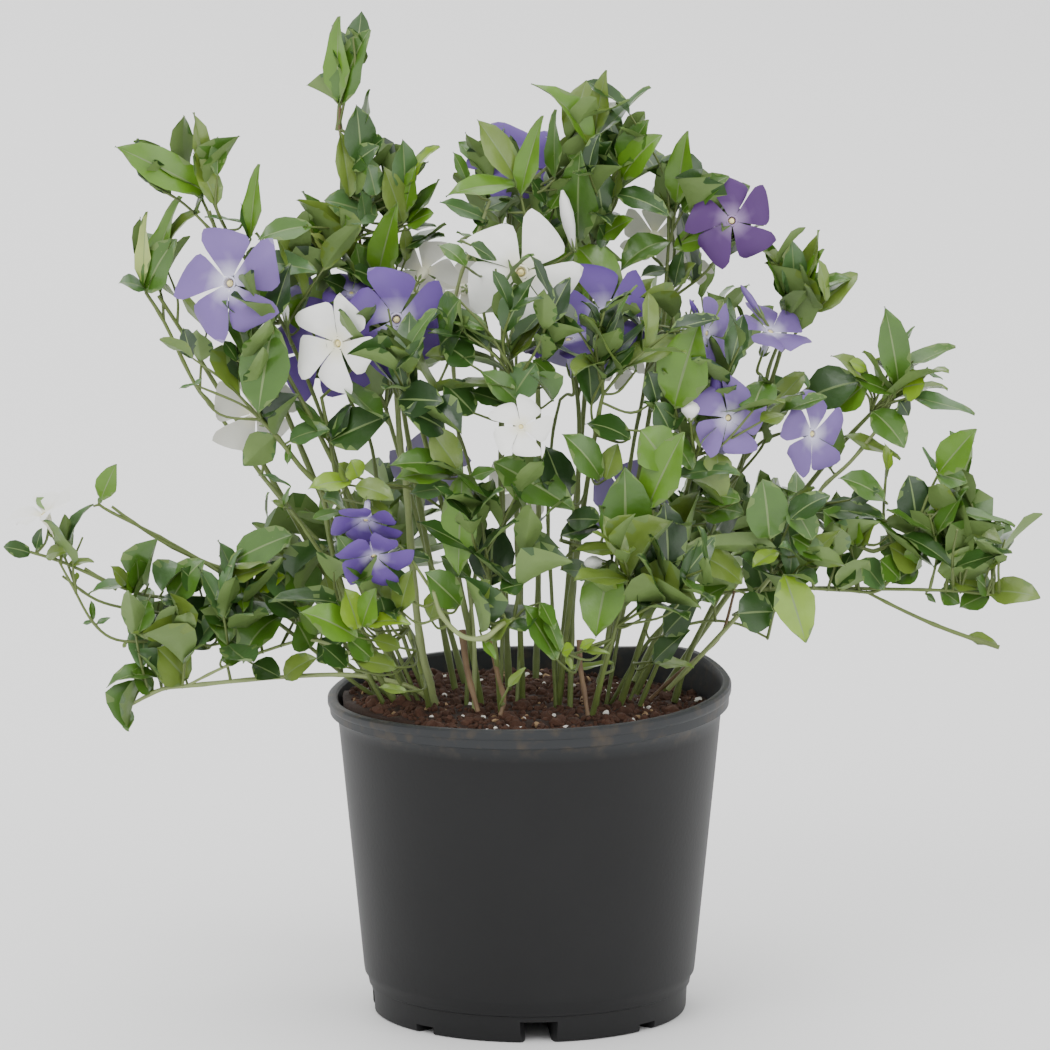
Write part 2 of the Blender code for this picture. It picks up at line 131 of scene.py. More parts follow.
# Leaves seen from the front, by spray: group, depth and rows. A leaf's face is 1 where its upper side
# looks at the viewer, 0 where it is edge-on and -1 where its underside shows. Lean is its tip's added depth.
SPRAYS = {
    "top_tuft": ("crown_left", -4, (
        (341, 107, 341, 20, 25, 0.8, -3, PLAIN, FRESH), (343, 106, 371, 33, 33, 0.85, -4, ARCHED, MID),
        (338, 104, 308, 88, 22, -0.6, 2, FOLDED, GREY), (340, 106, 350, 60, 20, 0.3, 8, PLAIN, DARK))),
    "left_crown_high": ("crown_left", -4, (
        (350, 198, 340, 132, 22, 0.85, -3, PLAIN, OLIVE), (362, 168, 357, 107, 34, 0.9, -2, PLAIN, DARK),
        (367, 130, 371, 92, 11, 0.35, 2, PLAIN, MID), (372, 152, 384, 141, 17, 0.7, -3, ROUND, DARK),
        (352, 170, 380, 148, 26, 0.9, -4, ARCHED, DARK), (376, 197, 368, 166, 24, 0.85, 0, ROUND, GREY),
        (356, 196, 352, 150, 14, 0.5, 2, FOLDED, MID))),
    "left_crown": ("crown_left", 0, (
        (335, 264, 303, 193, 20, 0.6, -3, PLAIN, MID), (330, 264, 299, 201, 15, 0.5, -6, FOLDED, OLIVE),
        (327, 254, 303, 228, 15, 0.8, -7, PLAIN, YOUNG), (338, 262, 309, 234, 13, 0.7, -9, PLAIN, YOUNG),
        (378, 218, 325, 202, 33, 0.8, -3, ROUND, GREY), (366, 228, 361, 191, 16, 0.7, -7, PLAIN, GREY),
        (351, 252, 346, 216, 19, 0.8, -8, PLAIN, FRESH), (378, 281, 398, 204, 31, 0.95, -12, PLAIN, FRESH),
        (350, 282, 334, 240, 22, 0.6, -4, FOLDED, OLIVE), (362, 284, 356, 244, 26, 0.8, -6, PLAIN, MID),
        (366, 262, 384, 236, 22, 0.8, 0, PLAIN, MID), (385, 288, 338, 268, 24, 0.6, -8, ARCHED, DARK),
        (330, 270, 318, 291, 17, -0.7, -6, PLAIN, GREY), (352, 296, 322, 280, 20, 0.8, -6, ARCHED, DARK),
        (360, 214, 372, 182, 22, 0.8, 4, PLAIN, DARK), (345, 224, 352, 196, 20, 0.7, 4, PLAIN, MID))),
    "left_crown_right": ("crown_left", 2, (
        (405, 196, 403, 141, 27, 0.9, -3, PLAIN, GREY), (407, 190, 440, 148, 14, 0.5, -2, ARCHED, LIME),
        (407, 224, 440, 181, 13, 0.45, -2, BACKWARD, MID), (403, 224, 384, 168, 26, 0.9, -5, PLAIN, OLIVE),
        (406, 214, 416, 168, 20, 0.8, -4, PLAIN, FRESH), (408, 226, 434, 214, 18, 0.8, -5, ROUND, FRESH),
        (410, 230, 437, 228, 9, 0.4, -3, PLAIN, DARK), (406, 262, 404, 226, 14, 0.7, 0, PLAIN, OLIVE),
        (398, 266, 386, 240, 20, 0.7, 2, PLAIN, MID), (404, 250, 428, 238, 14, 0.6, 2, PLAIN, DARK))),
    "left_crown_side": ("crown_left", -12, (
        (312, 228, 259, 241, 24, 0.85, -6, ARCHED, MID), (259, 262, 318, 273, 26, 0.8, -6, PLAIN, GREY),
        (252, 242, 261, 166, 19, 0.8, 2, PLAIN, FRESH), (250, 240, 242, 205, 12, 0.6, 2, PLAIN, DARK),
        (245, 225, 206, 219, 5, 0.3, 2, PLAIN, GREY), (276, 320, 256, 262, 20, 0.7, -2, PLAIN, MID),
        (300, 330, 312, 292, 18, 0.8, 2, FOLDED, FRESH), (272, 324, 240, 296, 30, 0.7, 8, PLAIN, DARK),
        (274, 322, 262, 292, 18, 0.8, 2, PLAIN, DARK))),
    "upper_left_tuft": ("crown_left", -8, (
        (209, 195, 117, 149, 39, 0.9, -4, PLAIN, FRESH), (207, 192, 195, 115, 18, 0.65, 2, PLAIN, OLIVE),
        (206, 188, 198, 125, 14, 0.5, 4, PLAIN, MID), (213, 194, 241, 138, 16, 0.65, 0, FOLDED, MID))),
    "far_left_tuft": ("crown_left", 6, (
        (146, 288, 149, 213, 15, 0.8, -3, PLAIN, YOUNG), (151, 288, 183, 198, 21, 0.6, 0, PLAIN, FRESH),
        (156, 272, 201, 212, 14, 0.5, -2, ARCHED, OLIVE), (149, 292, 178, 240, 36, 0.85, -6, ARCHED, MID),
        (147, 290, 120, 284, 16, 0.5, -3, ARCHED, GREY))),
    "left_body": ("body_left", -30, (
        (274, 325, 259, 414, 53, 0.95, -4, PLAIN, MID), (238, 362, 224, 341, 14, 0.6, 2, PLAIN, DARK),
        (277, 436, 300, 394, 17, 0.5, -2, FOLDED, PAINTED_SHADE), (262, 418, 292, 396, 20, 0.6, 3, PLAIN, GREY),
        (276, 436, 244, 466, 34, -0.85, -3, PLAIN, GREY), (290, 441, 330, 430, 22, 0.75, -2, ARCHED, GREY),
        (330, 442, 390, 416, 42, 0.8, -4, PLAIN, DARK), (332, 440, 352, 404, 18, 0.6, 4, PLAIN, PAINTED_SHADE),
        (326, 438, 292, 400, 16, 0.5, 4, PLAIN, MID), (291, 444, 288, 465, 8, 0.6, 0, PLAIN, MID),
        (262, 475, 291, 487, 6, 0.4, 0, PLAIN, GREY), (284, 506, 291, 487, 6, 0.5, 0, PLAIN, MID),
        (288, 508, 271, 501, 7, 0.5, 0, PLAIN, OLIVE), (196, 385, 180, 389, 4, 0.5, 0, PLAIN, GREY),
        (196, 385, 203, 379, 5, 0.6, 0, PLAIN, GREY))),
    "centre_left_body": ("body_left", -52, (
        (352, 482, 308, 489, 20, 0.8, -4, ARCHED, LIME), (350, 480, 338, 463, 16, 0.7, -2, PLAIN, OLIVE),
        (356, 486, 394, 500, 24, 0.85, -5, ARCHED, OLIVE), (358, 478, 351, 460, 22, 0.9, -2, ROUND, LIME),
        (344, 508, 322, 498, 14, 0.5, -4, CURLED, GREY), (340, 512, 312, 520, 12, 0.5, -2, PLAIN, MID),
        (366, 504, 392, 522, 15, 0.7, -4, ARCHED, OLIVE), (398, 400, 444, 402, 38, 0.85, -4, PLAIN, PAINTED_SHADE),
        (444, 430, 402, 412, 34, 0.8, -6, ARCHED, PAINTED_SHADE), (420, 412, 462, 434, 20, 0.6, -6, FOLDED, PAINTED_SHADE),
        (458, 470, 428, 428, 34, 0.85, -3, PLAIN, OLIVE), (462, 472, 430, 456, 20, 0.8, -1, PLAIN, MID),
        (455, 468, 389, 466, 26, 0.8, -6, ARCHED, MID), (452, 476, 394, 480, 24, 0.7, -2, ARCHED, FRESH),
        (450, 488, 410, 494, 20, 0.7, 0, PLAIN, GREY), (463, 474, 459, 577, 38, 0.95, -3, PLAIN, FRESH),
        (470, 478, 496, 470, 14, 0.6, 0, PLAIN, MID), (470, 490, 500, 510, 22, 0.6, 2, ARCHED, DARK),
        (430, 560, 402, 556, 14, 0.6, 0, PLAIN, DARK))),
    "centre_body": ("body_centre", -46, (
        (517, 402, 480, 372, 26, 0.9, -3, ARCHED, MID), (505, 404, 470, 392, 20, 0.7, 2, PLAIN, DARK),
        (474, 414, 442, 382, 36, 0.8, 0, PLAIN, DARK), (472, 366, 444, 346, 32, 0.8, 3, ARCHED, DARK),
        (514, 396, 536, 364, 34, 0.85, 0, ROUND, GREY), (552, 402, 530, 374, 20, 0.7, -2, FOLDED, MID),
        (488, 404, 516, 400, 16, 0.8, 3, PLAIN, GREY), (486, 330, 452, 314, 18, 0.8, 2, PLAIN, MID),
        (576, 326, 540, 316, 30, 0.7, 6, ARCHED, PAINTED_SHADE), (493, 462, 574, 510, 46, 0.85, -6, PLAIN, MID),
        (494, 528, 492, 586, 46, 0.9, -3, ROUND, PAINTED_SHADE), (566, 502, 545, 446, 36, 0.85, 2, PLAIN, PAINTED_SHADE),
        (470, 578, 440, 556, 22, 0.7, 2, PLAIN, MID), (460, 300, 440, 332, 30, 0.6, 10, PLAIN, MID),
        (462, 330, 440, 348, 34, 0.8, 8, ARCHED, DARK), (470, 246, 496, 262, 14, 0.7, 6, PLAIN, DARK),
        (466, 268, 438, 246, 17, 0.6, 4, ARCHED, MID), (554, 380, 532, 360, 18, 0.7, 3, PLAIN, MID))),
    "centre_right_body": ("body_centre", -48, (
        (600, 478, 562, 434, 32, 0.85, -4, ARCHED, MID), (606, 480, 618, 444, 26, 0.8, 2, PLAIN, OLIVE),
        (630, 440, 585, 424, 26, 0.6, 2, ARCHED, DARK), (640, 430, 670, 470, 46, 0.85, 2, PLAIN, FRESH),
        (624, 556, 624, 466, 54, 0.95, -5, PLAIN, MID), (648, 508, 684, 432, 40, 0.9, -4, PLAIN, FRESH),
        (668, 572, 664, 501, 40, 0.9, 0, PLAIN, PAINTED_SHADE), (612, 560, 596, 638, 46, 0.9, -6, PLAIN, FRESH),
        (560, 536, 600, 528, 20, 0.6, 2, PLAIN, DARK), (520, 562, 560, 548, 18, 0.5, 0, FOLDED, MID),
        (640, 552, 572, 552, 14, 0.5, -4, PLAIN, OLIVE), (600, 520, 566, 520, 26, 0.7, 4, PLAIN, DARK),
        (690, 590, 650, 582, 30, 0.7, 2, ARCHED, PAINTED_SHADE), (640, 620, 668, 596, 16, 0.6, 0, ARCHED, OLIVE),
        (560, 570, 606, 576, 20, 0.5, 2, PLAIN, GREY))),
    "centre_crown": ("crown_centre", -8, (
        (517, 182, 477, 122, 31, 0.9, -3, PLAIN, OLIVE), (521, 198, 543, 118, 23, 0.85, -6, PLAIN, FRESH),
        (516, 188, 446, 198, 21, 0.8, -8, ARCHED, FRESH), (468, 186, 453, 154, 13, 0.7, 0, PLAIN, MID),
        (488, 222, 440, 204, 17, 0.7, -4, PLAIN, GREY), (484, 212, 512, 200, 16, 0.6, 2, PLAIN, DARK),
        (488, 226, 470, 214, 16, 0.6, 0, PLAIN, DARK), (556, 182, 556, 112, 16, 0.7, 4, PLAIN, MID),
        (530, 180, 546, 206, 15, 0.6, 2, PLAIN, DARK), (532, 220, 552, 206, 8, 0.5, 3, PLAIN, DARK),
        (508, 214, 530, 222, 14, 0.5, 4, PLAIN, DARK), (550, 212, 564, 190, 18, 0.6, 3, PLAIN, MID))),
    "centre_crown_right": ("crown_centre", -2, (
        (590, 160, 531, 86, 21, 0.75, -3, CURLED, FRESH), (594, 140, 606, 73, 23, 0.9, -2, PLAIN, OLIVE),
        (597, 142, 650, 90, 11, 0.45, -1, PLAIN, GREY), (619, 168, 648, 122, 29, 0.9, -3, PLAIN, MID),
        (622, 180, 661, 137, 31, 0.85, -6, ARCHED, FRESH), (600, 172, 612, 143, 24, 0.8, -4, FOLDED, DARK),
        (579, 242, 580, 153, 42, 0.9, -9, PLAIN, MID), (602, 218, 594, 170, 34, 0.85, -4, PLAIN, DARK),
        (597, 242, 602, 208, 17, -0.8, -6, PLAIN, GREY), (600, 238, 633, 220, 22, 0.85, -8, PLAIN, FRESH),
        (616, 196, 668, 217, 24, 0.8, -6, ARCHED, DARK), (606, 246, 598, 226, 20, 0.7, -4, PLAIN, DARK),
        (578, 249, 619, 303, 43, 0.95, -10, ARCHED, FRESH), (614, 200, 620, 168, 14, 0.6, 0, PLAIN, OLIVE),
        (580, 250, 562, 272, 7, 0.6, 2, PLAIN, MID))),
    "right_shoot_tuft": ("crown_centre", 2, (
        (676, 206, 687, 133, 28, 0.9, -4, PLAIN, FRESH), (682, 212, 728, 178, 30, 0.85, -6, ARCHED, MID),
        (668, 243, 620, 272, 28, 0.8, -6, CURLED, MID), (668, 272, 640, 278, 13, 0.6, -3, ARCHED, DARK),
        (673, 249, 722, 240, 24, 0.75, -2, ARCHED, FRESH), (674, 288, 683, 251, 18, 0.8, -4, PLAIN, DARK),
        (676, 284, 695, 264, 15, 0.7, -6, PLAIN, OLIVE), (672, 222, 664, 204, 8, 0.5, 2, PLAIN, OLIVE))),
    "right_tuft": ("crown_right", 4, (
        (792, 303, 763, 240, 22, 0.6, -2, BACKWARD, MID), (793, 302, 790, 240, 27, 0.9, -4, PLAIN, GREY),
        (795, 302, 818, 231, 17, 0.6, 0, BACKWARD, OLIVE), (797, 300, 823, 250, 16, 0.7, -2, PLAIN, FRESH),
        (796, 303, 849, 279, 17, 0.6, -4, ARCHED, MID), (790, 302, 777, 268, 26, 0.8, 3, PLAIN, DARK),
        (794, 318, 804, 312, 11, 0.6, 0, PLAIN, FRESH), (797, 300, 824, 272, 14, 0.5, 4, PLAIN, MID))),
    "far_right_tuft": ("crown_right", 8, (
        (898, 388, 883, 307, 34, 0.9, -3, PLAIN, MID), (902, 388, 924, 384, 32, 0.8, -2, ROUND, LIME),
        (906, 397, 974, 415, 16, 0.7, -6, PLAIN, GREY), (872, 412, 904, 448, 34, 0.85, -6, ARCHED, MID),
        (898, 400, 908, 416, 18, 0.7, 0, PLAIN, PAINTED_SHADE), (868, 384, 830, 356, 15, 0.6, -2, ARCHED, OLIVE),
        (866, 370, 848, 362, 14, 0.7, -2, PLAIN, LIME), (892, 394, 852, 378, 18, 0.7, -3, PLAIN, MID),
        (858, 382, 802, 402, 44, 0.85, 3, ARCHED, DARK), (866, 384, 834, 412, 30, 0.85, 0, PLAIN, FRESH),
        (900, 346, 914, 327, 6, 0.6, 3, PLAIN, MID), (926, 374, 942, 380, 4, 0.5, 0, PLAIN, GREY),
        (926, 374, 927, 367, 4, 0.5, 0, PLAIN, GREY), (842, 436, 900, 460, 13, 0.6, -2, PLAIN, OLIVE),
        (808, 388, 798, 371, 8, 0.6, 2, PLAIN, GREY), (830, 470, 838, 410, 26, 0.75, 4, PLAIN, FRESH),
        (800, 396, 762, 410, 20, 0.6, 4, FOLDED, GREY), (892, 380, 872, 360, 16, 0.5, 2, FOLDED, OLIVE))),
    "right_body": ("body_centre", -38, (
        (674, 408, 699, 323, 53, 0.92, -5, PLAIN, FRESH), (656, 402, 647, 371, 22, 0.85, -2, ROUND, PAINTED_SHADE),
        (670, 432, 654, 402, 28, 0.85, -3, PLAIN, DARK), (692, 470, 668, 432, 22, 0.7, 0, PLAIN, MID),
        (700, 448, 718, 426, 18, 0.6, 0, FOLDED, OLIVE), (752, 412, 764, 382, 36, 0.85, 12, ROUND, MID),
        (760, 422, 784, 416, 16, 0.6, 4, PLAIN, OLIVE), (718, 476, 716, 452, 29, 0.9, 4, ROUND, OLIVE),
        (676, 478, 740, 474, 18, 0.6, 0, ARCHED, GREY), (720, 508, 690, 478, 20, 0.6, -3, FOLDED, OLIVE),
        (740, 500, 700, 494, 22, 0.6, 0, PLAIN, MID), (690, 408, 664, 424, 26, 0.7, 6, PLAIN, DARK),
        (636, 372, 646, 318, 8, 0.5, 4, PLAIN, MID))),
    "right_trail_near": ("trail_right", -30, (
        (769, 538, 762, 479, 43, 0.95, -5, ROUND, MID), (784, 574, 806, 643, 42, 0.95, -6, PLAIN, LIME),
        (776, 548, 682, 552, 20, -0.8, -6, ARCHED, OLIVE), (778, 552, 752, 568, 17, 0.8, -6, ARCHED, LIME),
        (735, 590, 680, 570, 26, -0.8, -2, ARCHED, OLIVE), (796, 556, 846, 566, 20, -0.8, -6, ARCHED, OLIVE),
        (738, 614, 774, 612, 42, 0.9, 2, ROUND, DARK), (700, 510, 744, 514, 34, 0.75, -3, ARCHED, MID),
        (700, 556, 742, 584, 30, 0.7, 0, ARCHED, OLIVE), (744, 500, 716, 530, 30, 0.6, 6, PLAIN, DARK),
        (790, 520, 830, 496, 26, 0.7, 4, ARCHED, DARK), (812, 540, 788, 500, 30, 0.7, 6, PLAIN, MID),
        (690, 540, 700, 490, 24, 0.7, -3, FOLDED, OLIVE), (706, 524, 716, 518, 20, 0.8, -4, PLAIN, DARK),
        (826, 560, 790, 536, 24, 0.7, 2, PLAIN, MID), (700, 600, 728, 586, 20, 0.6, 0, PLAIN, MID),
        (664, 636, 700, 600, 30, 0.7, -2, PLAIN, DARK), (652, 664, 690, 630, 22, 0.7, -4, PLAIN, DARK),
        (650, 662, 694, 668, 12, 0.5, -2, PLAIN, OLIVE), (614, 664, 566, 672, 7, 0.6, -2, PLAIN, OLIVE))),
    "right_trail_mid": ("trail_right", -6, (
        (884, 500, 838, 478, 26, 0.7, -3, ARCHED, MID), (850, 500, 880, 490, 20, 0.7, -2, PLAIN, DARK),
        (850, 540, 822, 510, 36, 0.75, -2, PLAIN, MID), (855, 545, 838, 520, 14, 0.7, -4, PLAIN, OLIVE),
        (856, 546, 858, 516, 16, 0.7, -4, PLAIN, FRESH), (858, 546, 876, 522, 15, 0.7, -4, PLAIN, OLIVE),
        (852, 548, 820, 542, 14, 0.6, -4, ARCHED, OLIVE), (836, 588, 852, 552, 30, 0.8, 2, PLAIN, DARK),
        (860, 560, 884, 590, 26, 0.7, 2, PLAIN, GREY), (884, 520, 812, 514, 22, 0.6, 4, ARCHED, DARK),
        (886, 470, 884, 443, 9, 0.7, 0, PLAIN, OLIVE), (888, 470, 892, 452, 8, 0.7, 0, PLAIN, LIME),
        (840, 590, 870, 560, 28, -0.7, -4, PLAIN, OLIVE), (880, 560, 900, 580, 26, 0.7, 2, PLAIN, MID))),
    "right_trail_far": ("trail_right", 2, (
        (916, 522, 908, 475, 36, 0.9, -3, ROUND, PAINTED_SHADE), (938, 474, 976, 429, 34, 0.9, -4, PLAIN, FRESH),
        (936, 474, 967, 483, 26, 0.8, -2, PLAIN, MID), (946, 516, 936, 484, 27, -0.85, -6, ROUND, OLIVE),
        (936, 472, 922, 447, 7, 0.4, 2, BACKWARD, GREY), (952, 512, 1015, 527, 9, 0.5, -2, PLAIN, MID),
        (884, 524, 940, 534, 26, -0.75, -6, ARCHED, OLIVE), (926, 512, 946, 542, 28, 0.75, 4, PLAIN, MID),
        (962, 545, 966, 518, 8, 0.5, 2, PLAIN, GREY), (964, 546, 1003, 544, 16, 0.5, -4, FOLDED, OLIVE),
        (930, 548, 966, 542, 20, 0.6, 2, PLAIN, DARK), (996, 566, 938, 572, 38, -0.85, -8, ARCHED, OLIVE),
        (990, 592, 1041, 598, 30, 0.85, -6, ARCHED, OLIVE), (990, 592, 976, 578, 20, 0.7, -3, PLAIN, MID),
        (990, 594, 960, 608, 24, 0.7, -2, PLAIN, MID), (968, 636, 998, 645, 13, 0.8, -2, PLAIN, OLIVE),
        (940, 590, 960, 604, 22, 0.7, 0, PLAIN, MID), (920, 566, 888, 546, 34, 0.8, -4, PLAIN, OLIVE),
        (922, 566, 926, 540, 15, 0.7, -5, FOLDED, FRESH), (918, 568, 892, 584, 24, 0.7, -3, PLAIN, MID),
        (990, 566, 1001, 562, 9, 0.5, -2, PLAIN, OLIVE), (926, 594, 936, 603, 7, 0.6, 0, PLAIN, MID),
        (904, 560, 880, 536, 28, 0.7, 3, PLAIN, MID), (946, 580, 984, 590, 18, 0.6, -2, PLAIN, OLIVE))),
    "left_high_tip": ("trail_left", 4, (
        (101, 500, 117, 464, 23, 0.9, -2, PLAIN, FRESH), (94, 505, 73, 550, 8, 0.5, -2, CURLED, GREY),
        (98, 503, 104, 497, 6, 0.6, 0, PLAIN, MID))),
    "left_trail_tip": ("trail_left", 0, (
        (30, 553, 3, 547, 17, 0.8, -2, ROUND, DARK), (36, 550, 42, 528, 12, 0.8, -2, PLAIN, DARK),
        (50, 512, 37, 497, 12, 0.8, 6, PLAIN, FRESH), (68, 566, 94, 562, 8, 0.6, 0, ARCHED, OLIVE),
        (46, 556, 66, 552, 16, 0.7, -3, ARCHED, OLIVE), (76, 580, 76, 572, 6, 0.7, 0, PLAIN, OLIVE),
        (92, 620, 90, 600, 7, 0.8, 0, PLAIN, MID), (96, 624, 110, 618, 6, 0.8, 0, PLAIN, GREY),
        (92, 622, 82, 624, 5, 0.7, 0, PLAIN, GREY), (126, 643, 122, 648, 5, 0.7, 0, PLAIN, OLIVE))),
    "left_trail_low": ("trail_left", -4, (
        (148, 585, 158, 538, 28, 0.7, -3, FOLDED, MID), (138, 588, 136, 558, 22, 0.8, -5, PLAIN, MID),
        (130, 590, 110, 566, 14, 0.7, -3, PLAIN, OLIVE), (134, 592, 126, 572, 14, 0.7, -6, PLAIN, FRESH),
        (148, 600, 138, 634, 26, 0.8, -3, PLAIN, MID), (140, 586, 88, 594, 10, 0.5, 0, ARCHED, GREY),
        (160, 598, 186, 604, 14, 0.6, -4, PLAIN, DARK), (162, 592, 186, 566, 26, 0.6, 2, FOLDED, GREY),
        (172, 600, 204, 560, 36, 0.8, 0, ARCHED, MID), (200, 590, 180, 568, 24, 0.8, -2, PLAIN, DARK),
        (218, 636, 172, 604, 48, 0.9, -2, PLAIN, PAINTED_SHADE), (206, 650, 156, 632, 26, 0.7, 2, ARCHED, DARK),
        (186, 680, 156, 648, 44, 0.9, -6, PLAIN, OLIVE), (160, 684, 134, 650, 22, 0.7, -3, FOLDED, GREY),
        (160, 680, 105, 688, 15, 0.6, -4, CURLED, MID), (140, 680, 127, 732, 16, 0.6, -6, FOLDED, MID),
        (152, 690, 130, 672, 24, 0.7, -4, PLAIN, MID), (128, 712, 127, 732, 13, 0.9, -8, ROUND, MID),
        (176, 640, 130, 634, 14, 0.6, -4, PLAIN, OLIVE))),
    "left_trail_near": ("trail_left", -10, (
        (236, 560, 292, 535, 36, 0.85, -6, ROUND, MID), (228, 566, 288, 558, 24, 0.6, -3, ARCHED, OLIVE),
        (226, 580, 274, 566, 18, 0.8, -8, PLAIN, OLIVE), (296, 600, 260, 560, 34, 0.7, -2, PLAIN, GREY),
        (300, 592, 336, 541, 24, 0.7, -4, FOLDED, DARK), (310, 604, 288, 562, 40, 0.75, 2, ARCHED, MID),
        (244, 592, 214, 600, 22, 0.8, -4, ARCHED, DARK), (252, 588, 286, 576, 22, 0.8, -2, PLAIN, LIME),
        (240, 586, 243, 612, 16, 0.8, -4, PLAIN, FRESH), (300, 616, 258, 592, 28, 0.7, -2, PLAIN, DARK),
        (296, 616, 218, 622, 15, 0.5, 0, ARCHED, GREY), (282, 616, 242, 664, 34, 0.75, -5, CURLED, MID),
        (246, 650, 214, 632, 26, 0.7, 2, PLAIN, MID), (252, 664, 280, 678, 26, 0.8, -3, PLAIN, DARK),
        (310, 648, 296, 622, 34, 0.85, -4, PLAIN, MID), (284, 678, 316, 658, 24, 0.8, -4, ARCHED, OLIVE),
        (322, 632, 296, 608, 24, 0.8, -5, PLAIN, FRESH), (330, 600, 324, 574, 20, 0.8, -2, PLAIN, OLIVE),
        (316, 660, 344, 640, 26, 0.8, -3, PLAIN, DARK), (220, 660, 246, 656, 18, 0.6, 0, PLAIN, MID),
        (276, 548, 250, 574, 26, 0.6, 3, PLAIN, MID), (226, 626, 204, 606, 22, 0.7, 3, PLAIN, DARK))),
    "low_left_body": ("body_left", -58, (
        (356, 638, 300, 612, 34, 0.85, -5, ARCHED, FRESH), (358, 630, 344, 588, 28, 0.8, -3, PLAIN, LIME),
        (362, 626, 376, 588, 26, 0.85, -5, PLAIN, FRESH), (364, 625, 411, 624, 16, 0.75, -8, ARCHED, LIME),
        (352, 640, 336, 600, 30, 0.7, 3, PLAIN, MID), (400, 648, 372, 640, 18, 0.7, 0, PLAIN, OLIVE),
        (372, 660, 344, 636, 24, 0.7, -2, PLAIN, MID), (396, 668, 350, 660, 22, 0.6, -3, PLAIN, OLIVE),
        (460, 606, 424, 572, 34, 0.85, -5, PLAIN, MID), (400, 612, 412, 570, 24, 0.8, 0, PLAIN, OLIVE),
        (430, 620, 440, 590, 20, 0.7, -4, PLAIN, OLIVE), (346, 668, 322, 646, 24, 0.7, 2, PLAIN, DARK),
        (406, 692, 378, 688, 10, 0.8, -3, PLAIN, OLIVE), (404, 596, 388, 566, 22, 0.7, 3, PLAIN, DARK),
        (386, 620, 380, 596, 24, 0.7, 2, PLAIN, DARK))),
    "low_centre_body": ("body_centre", -62, (
        (482, 640, 496, 660, 10, 0.9, -3, PLAIN, FRESH), (480, 632, 464, 576, 18, 0.6, -2, FOLDED, DARK),
        (476, 600, 490, 580, 20, 0.7, 0, PLAIN, OLIVE), (484, 622, 476, 594, 14, 0.6, 0, FOLDED, MID),
        (490, 640, 512, 620, 16, 0.7, -4, PLAIN, OLIVE), (560, 652, 540, 606, 16, 0.7, 0, PLAIN, MID),
        (556, 660, 522, 604, 26, 0.7, -3, PLAIN, MID), (562, 652, 574, 648, 14, 0.8, -2, PLAIN, LIME),
        (580, 648, 596, 640, 10, 0.8, -2, PLAIN, LIME), (582, 650, 610, 654, 8, 0.8, -2, PLAIN, OLIVE),
        (566, 656, 572, 670, 7, 0.8, -2, PLAIN, OLIVE), (500, 606, 480, 590, 24, 0.7, 2, PLAIN, OLIVE),
        (540, 602, 554, 630, 16, 0.7, -3, PLAIN, MID), (500, 626, 540, 612, 30, 0.5, 3, PLAIN, DARK),
        (508, 688, 526, 668, 9, 0.7, 0, PLAIN, OLIVE), (500, 590, 524, 584, 20, 0.6, 2, PLAIN, DARK))),
}

